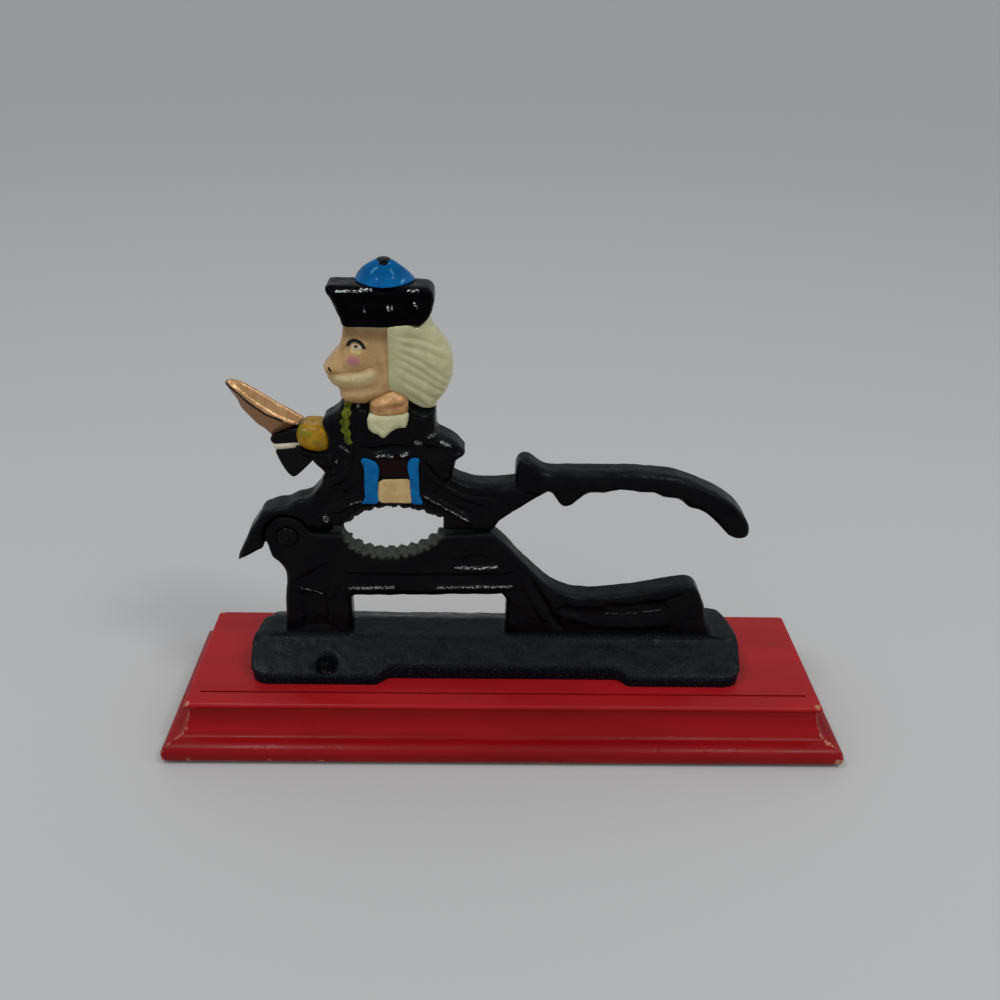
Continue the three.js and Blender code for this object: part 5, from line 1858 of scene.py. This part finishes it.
    def crown(self, node: bpy.types.Object) -> None:
        """Shape the lobed blue crown, whose foot is set back on the hat.

        Args:
            node: Its CAD node.
        """
        blue = Enamel("crown_blue", (0, 92, 150), (0, 82, 138), roughness=0.14, specular=0.07,
                      depth=0.03, inks=(Ink("ink", (12, 16, 18)),
                                        Ink("gleam", (104, 180, 214), 0.0, 1.2))).material()
        clay = Clay.copied("crown_blue", [node], self.dome_voxel)
        points = clay.points
        low, high = points[:, 2].min(), points[:, 2].max()
        centre = (points[:, 0].min() + points[:, 0].max()) / 2
        turn = np.arctan2(points[:, 1] * self.dome_stretch, points[:, 0] - centre)
        rise = eased(points[:, 2], low + 0.5, low + 0.35 * (high - low))
        lobes = 1 - self.dome_depth * (1 - np.abs(np.cos(turn * self.dome_lobes / 2))) * rise
        points[:, 0] = centre + (points[:, 0] - centre) * lobes
        points[:, 1] *= lobes * (1 + 0.1 * (1 - eased(points[:, 2], low, high)))
        clay.nudge(self.dome_nudges)
        half = np.abs(points[:, 1]).max()
        foot = 1 - eased(points[:, 2], points[:, 2].min() + 1, points[:, 2].max())
        points[:, 1] += self.dome_set_back * foot * (1 - (points[:, 1] / half) ** 2)
        clay.smooth(2)
        clay.mark("ink", (Stroke(((centre - 0.5, high - 0.1), (centre + 0.6, high - 0.2)), 1.6, 1.5),))
        # Painted highlights high on the crown's lobes.
        clay.mark("gleam", self.dome_highlights)
        clay.finished(blue, Body.LEVER, "blue_enamel", node.name)

    def button(self, node: bpy.types.Object) -> None:
        """Shape the low, wide button on top of the crown.

        Args:
            node: Its CAD node.
        """
        black = Enamel("button_black", (16, 20, 22), (30, 36, 36), cloud=1.0, specular=0.15,
                       roughness=0.3).material()
        clay = Clay.copied("button_black", [node], self.button_voxel)
        middle = clay.points.mean(0)
        clay.points = (middle + (clay.points - middle) * np.array(self.button_scale)
                       - (0, 0, self.button_drop))
        clay.smooth(6)
        clay.finished(black, Body.LEVER, "black_enamel", node.name)

    def face(self, node: bpy.types.Object, outline: Silhouette) -> None:
        """Shape the face and paint its brow, eye, cheek and nostril.

        Args:
            node: Its CAD node.
            outline: The outline of the head.
        """
        skin = Enamel("face_skin", (190, 156, 110), (174, 138, 90), cloud=6, roughness=0.3,
                      inks=(Ink("glow", (222, 200, 140), 0.1, 1.2),
                            Ink("cheek", (180, 112, 122), 0.1, 1.1), Ink("eye_white", (206, 186, 160)),
                            Ink("cream", (204, 194, 150), 0.2, 1.0),
                            Ink("shade", (128, 98, 60), 0.0, 1.2), Ink("pupil", (60, 34, 22)),
                            Ink("ink", (10, 9, 10)))).material()
        clay = Clay.copied("face_skin", [node], self.face_voxel)
        gap = outline.distance(clay.plan)
        clay.swell(self.swell, eased(gap, 0.2, 1.5))
        clay.crown(gap, self.face_reach, self.face_least)
        self.tucked(clay)
        clay.carry(0, -42.8, -41.7, self.hair_lap)
        clay.smooth(2)
        clay.relief(self.features)
        clay.smooth(1)
        clay.mark("ink", (Stroke(self.brow, 0.95, 1.4),
                          Stroke(((-61.6, 121.6), (-61.0, 120.8)), 0.65, 1.3)))
        clay.mark("pupil", (Stroke(((-52.3, 129.7), (-51.9, 129.6)), 0.75, 1.3),
                            *(Stroke((place,), 0.35, 0.75) for place in self.specks)))
        clay.mark("eye_white", (Stroke(((-52.8, 129.7), (-51.0, 129.3)), 1.4, 1.1),))
        # A painted highlight just below the eye.
        clay.mark("glow", (Stroke(((-53.0, 128.4), (-51.4, 128.0)), 1.8, 1.0),))
        clay.mark("cheek", (Stroke(((-53.7, 124.9), (-52.6, 124.6)), 2.7, 1.1),))
        clay.mark("cream", (Stroke(((-55.8, 136.4), (-50.4, 136.0), (-41.0, 135.8)), 1.0, 1.0),))
        clay.mark("shade", (Stroke(((-57.0, 134.0), (-42.5, 133.6)), 5.0, 0.9),))
        clay.finished(skin, Body.LEVER, "skin_enamel", node.name)

    def tucked(self, clay: Clay) -> None:
        """Carry the top of the face or of the hair up into the hat, so that no gap shows.

        Args:
            clay: The piece.
        """
        under = 1 - eased(clay.points[:, 0], -35.0, -32.0)
        clay.carry(2, 133.6, 134.8, self.tuck, under)

    def moustache(self, node: bpy.types.Object, outline: Silhouette) -> None:
        """Shape the moustache as one swept lock that swells out of the cheek.

        Args:
            node: Its CAD node.
            outline: The outline of the head.
        """
        clay = Clay.copied("moustache_cream", [node], self.lip_voxel)
        rim = Silhouette([node], 0.4).distance(clay.plan)
        clay.points[:, 1] *= self.lip_half / np.abs(clay.points[:, 1]).max()
        clay.crown(outline.distance(clay.plan), self.face_reach, self.face_least)
        clay.smooth(2)
        clay.relief(self.features)
        clay.nudge(self.lip_nudges)
        clay.thicken(self.lip_width, 1 - eased(rim, 0.3, 1.0))
        bulge = self.lip_bulge * eased(rim, -0.2, 2.2) - 0.15
        clay.points[:, 1] += np.sign(clay.points[:, 1]) * bulge
        clay.smooth(4)
        clay.swell(0.15)
        clay.paint("rim", 1 - eased(rim, 0.2, 1.3))
        clay.mark("specks", tuple(Stroke((place,), 0.4, 0.8) for place in self.stubble))
        cream = Enamel("moustache_cream", (200, 186, 140), (190, 172, 124), roughness=0.34,
                       inks=(Ink("rim", (190, 160, 114), 0.2, 0.9),
                             Ink("specks", (110, 112, 70)),)).material()
        clay.finished(cream, Body.LEVER, "cream_enamel", node.name)

    def hair(self, node: bpy.types.Object, outline: Silhouette) -> None:
        """Shape the hair: a round mass combed into strands that run back and down.

        Args:
            node: Its CAD node.
            outline: The outline of the head.
        """
        clay = Clay.copied("hair_combed", [node], 0.35)
        gap = outline.distance(clay.plan)
        clay.swell(self.swell, eased(gap, 0.2, 1.5))
        clay.crown(gap, self.hair_reach, self.hair_least)
        self.tucked(clay)
        clay.smooth(3)
        x, z = clay.plan.T
        along = x + 41.0
        grip = eased(along, 0.8, 6.0) * (0.35 + 0.65 * eased(along - z, -98, -86))
        across = z + 0.56 * along - 0.006 * along ** 2
        bend = 0.5 * np.sin(along * 0.22 + z * 0.3) + 0.25 * np.sin(z * 0.9 - along * 0.15)
        strand = np.abs(np.sin(np.pi * (across / self.strand_pitch + bend)))
        lock = np.zeros(len(x))
        for line in self.locks:
            lock = np.maximum(lock, np.clip(1 - gap_to_line(clay.plan, line) / 1.5, 0, 1))
        lifted = (self.strand_depth * (strand - 0.6) - self.lock_depth * lock ** 1.3) * grip
        clay.points += lifted[:, None] * clay.normals()
        clay.smooth(2, 0.4)
        # Painted shade in the locks' grooves and the hollows between strands; the hair's material darkens
        # them.
        clay.paint("groove", (0.75 * lock + 0.35 * np.clip(0.4 - strand, 0, 1)) * grip)
        cream = Enamel("hair_cream", (192, 189, 146), (180, 176, 132), cloud=5, roughness=0.15,
                       specular=0.5, depth=0.03,
                       inks=(Ink("groove", (120, 116, 76), 0.05, 1.2),)).material()
        clay.finished(cream, Body.LEVER, "hair_enamel", node.name)


@dataclass
class Dress:
    """The soldier's kerchief, jabot and glove, and the short sabre held in the glove."""

    voxel: float = 0.32
    kerchief_half: float = 8.6
    jabot_half: float = 8.7
    glove_half: float = 7.2
    kerchief_edge: Line = ((-48.4, 109.6), (-46.6, 111.2), (-44.0, 112.2), (-42.1, 113.2), (-40.4, 113.8),
                      (-38.8, 113.2), (-36.8, 112.2), (-35.6, 110.8), (-35.3, 109.3), (-35.5, 105.6),
                      (-38.1, 104.6), (-42.2, 103.9), (-46.9, 104.3), (-48.6, 106.2))
    jabot_edge: Line = ((-50.0, 103.8), (-49.0, 105.4), (-46.8, 105.8), (-42.2, 105.8), (-38.1, 106.4),
                   (-35.0, 106.1), (-35.3, 103.1), (-36.2, 100.2), (-38.9, 100.2), (-41.0, 98.9),
                   (-43.6, 96.2), (-45.0, 96.2), (-46.1, 97.6), (-47.9, 98.0), (-49.6, 99.9))
    glove_edge: Line = ((-74.6, 97.0), (-73.4, 99.0), (-71.0, 99.6), (-66.0, 99.7), (-63.2, 98.8),
                   (-62.4, 96.4), (-62.0, 93.4), (-62.9, 91.0), (-65.0, 89.7), (-68.0, 89.3),
                   (-71.2, 90.0), (-73.8, 91.6), (-74.8, 94.2))
    hilt_half: float = 3.8
    hilt_edges: dict[str, Line] = field(default_factory=lambda: {
        "guard": ((-84.6, 94.4), (-80.5, 95.7), (-76.5, 97.5), (-72.0, 98.2), (-72.0, 92.2), (-77.5, 91.7),
                  (-83.6, 91.1)),
        "stripe": ((-83.9, 92.3), (-78.5, 92.7), (-73.2, 93.3), (-72.7, 90.6), (-77.4, 89.9),
                   (-83.1, 89.0)),
        "pommel": ((-83.4, 90.3), (-77.0, 90.4), (-72.0, 90.9), (-69.2, 88.4), (-69.0, 86.0), (-73.6, 81.2),
                   (-75.6, 79.4), (-77.1, 78.4), (-79.2, 80.0), (-81.6, 84.8)),
    })
    ridge: Line = ((-97.2, 113.4), (-93.6, 110.0), (-90.5, 106.9), (-85.1, 102.7), (-79.6, 100.4),
                   (-75.0, 99.6))
    under_edge: Line = ((-74.0, 96.0), (-83.4, 92.0), (-92.0, 98.0), (-100.0, 112.0))
    blade_voxel: float = 0.32
    blade_edge: float = 1.0
    blade_swell: float = 2.2
    blade_most: float = 1.3
    blade_nudges: tuple[Nudge, ...] = (
        Nudge(((-74.6, 102.0),), 5.0, (1.3, -1.4)),
        Nudge(((-97.0, 112.5),), 4.5, (-0.8, 0.5)),
        Nudge(((-92.0, 105.0), (-87.5, 100.0)), 4.0, (-0.7, -0.4)),
    )

    def build(self, nodes: Nodes) -> None:
        """Shape and dress the pieces.

        Args:
            nodes: The CAD nodes by name.
        """
        self.kerchief()
        self.jabot()
        self.glove()
        self.hilt()
        self.blade(nodes["sabre_blade"])

    def kerchief(self) -> None:
        """Shape the kerchief that is knotted at the neck."""
        copper = Enamel("kerchief_copper", (206, 164, 114), (176, 126, 80), cloud=3.4, roughness=0.46,
                        metallic=0.3, depth=0.16, brush=(0.7, 0.7, 0.7)).material()
        clay = Clay.cut("kerchief_copper", rounded(self.kerchief_edge), -self.kerchief_half,
                        self.kerchief_half, self.voxel)
        clay.crown(gap_to_line(clay.plan, self.kerchief_edge + self.kerchief_edge[:1]), 3.2, 0.72)
        clay.relief((
            Stroke(((-47.4, 107.2), (-43.0, 107.2), (-38.0, 108.6), (-35.6, 109.6)), 1.8, -0.6),
            Stroke(((-48.0, 109.8), (-44.0, 110.8), (-40.2, 112.8)), 1.4, -0.45),
            Stroke(((-46.4, 108.9), (-43.0, 109.4), (-38.2, 110.8)), 1.8, 0.5)))
        clay.smooth(4)
        clay.cast_skin(0.14, 1.6)
        clay.finished(copper, Body.LEVER, "copper_enamel", "figure_kerchief")

    def jabot(self) -> None:
        """Shape the jabot, with a crease to each side of its point."""
        cream = Enamel("jabot_cream", (204, 204, 162), (194, 192, 148), roughness=0.28).material()
        clay = Clay.cut("jabot_cream", rounded(self.jabot_edge), -self.jabot_half, self.jabot_half,
                        self.voxel)
        clay.crown(gap_to_line(clay.plan, self.jabot_edge + self.jabot_edge[:1]), 2.4, 0.74)
        clay.relief((
            Stroke(((-46.6, 102.2), (-44.4, 100.0)), 1.1, -0.3),
            Stroke(((-41.6, 103.2), (-42.0, 100.4)), 1.1, -0.3)))
        clay.smooth(5)
        clay.finished(cream, Body.LEVER, "cream_enamel", "figure_jabot")

    def glove(self) -> None:
        """Shape the gloved fist."""
        ochre = Enamel("glove_ochre", (168, 128, 8), (140, 102, 6), cloud=3.2, roughness=0.26,
                       inks=(Ink("green", (112, 112, 20), 0.1, 1.1),
                             Ink("brown", (136, 84, 18), 0.1, 1.3))).material()
        outline = rounded(self.glove_edge)
        clay = Clay.cut("glove_ochre", outline, -self.glove_half, self.glove_half, self.voxel)
        clay.crown(gap_to_line(clay.plan, outline + outline[:1]), 4.4, 0.48)
        clay.smooth(9)
        clay.cast_skin(0.3, 4.0)
        clay.mark("green", (Stroke(((-73.0, 97.8), (-70.0, 97.0)), 2.4, 0.9),
                            Stroke(((-68.0, 94.6), (-66.4, 94.8)), 1.8, 0.7)))
        # Painted shade along the glove's lower edge.
        clay.mark("brown", (Stroke(((-73.6, 92.6), (-70.0, 90.6), (-66.0, 90.4)), 1.6, 0.8),))
        clay.finished(ochre, Body.LEVER, "yellow_enamel", "figure_glove")

    def hilt(self) -> None:
        """Shape the sabre's guard, the pale stripe under it and the pommel."""
        black = Enamel("hilt_black", (5, 5, 7), (9, 9, 11), roughness=0.26, specular=0.1)
        cream = Enamel("hilt_cream", (222, 214, 188), (204, 194, 166), roughness=0.34)
        for name, paint, slot in (("guard", black, "black_enamel"), ("stripe", cream, "cream_enamel"),
                                  ("pommel", black, "black_enamel")):
            outline = rounded(self.hilt_edges[name])
            clay = Clay.cut("sabre_%s_cast" % name, outline, -self.hilt_half, self.hilt_half, self.voxel)
            clay.crown(gap_to_line(clay.plan, outline + outline[:1]), 2.2, 0.76)
            clay.smooth(3)
            clay.finished(paint.material(), Body.LEVER, slot, "sabre_" + name)

    def blade(self, node: bpy.types.Object) -> None:
        """Shape the blade: two facets that meet in a sharp ridge along its middle.

        Args:
            node: Its CAD node.
        """
        copper = Enamel("blade_copper", (192, 152, 106), (162, 120, 80), cloud=5, roughness=0.28,
                        metallic=0.5, depth=0.1, brush=(1.0, 1.0, 1.0),
                        inks=(Ink("under", (148, 110, 80)), Ink("ink", (40, 26, 20)))).material()
        clay = Clay.copied("blade_copper", [node], self.blade_voxel)
        edge = Silhouette([node], 0.4).distance(clay.plan)
        middle = gap_to_line(clay.plan, self.ridge)
        half = self.blade_edge + self.blade_swell * edge / (edge + middle + 0.01)
        flat = np.abs(clay.points[:, 1]).max()
        clay.nudge(self.blade_nudges)
        clay.points[:, 1] *= np.minimum(half / flat, self.blade_most)
        clay.smooth(1, 0.4)
        # Painted shade on the lower facet, which faces down; then a dark line along the ridge and dark
        # paint at the tip.
        clay.mark("under", (Panel(self.ridge + self.under_edge, 0.8, 1.0),))
        clay.mark("ink", (Stroke(self.ridge[:5], 1.1, 0.85),
                          Stroke(((-98.0, 115.4), (-98.8, 113.0), (-97.0, 110.0)), 1.4, 1.2)))
        clay.finished(copper, Body.LEVER, "copper_enamel", node.name)


def main() -> None:
    """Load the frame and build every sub-assembly in order."""
    logging.basicConfig(level=logging.INFO, format="%(name)s %(message)s")
    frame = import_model()
    nodes = frame["nodes"]
    Studio().build()
    iron = CastIron("enamelled_iron").material()
    Plinth().build(nodes)
    Frame().build(nodes, iron)
    lever = [node for name, node in nodes.items()
             if node["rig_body"] == Body.LEVER.value and name not in HEAD + ("hat_crown", "hat_button")]
    Lever().build(nodes, Silhouette(lever), iron)
    Head().build(nodes)
    Dress().build(nodes)


if __name__ == "__main__":
    main()
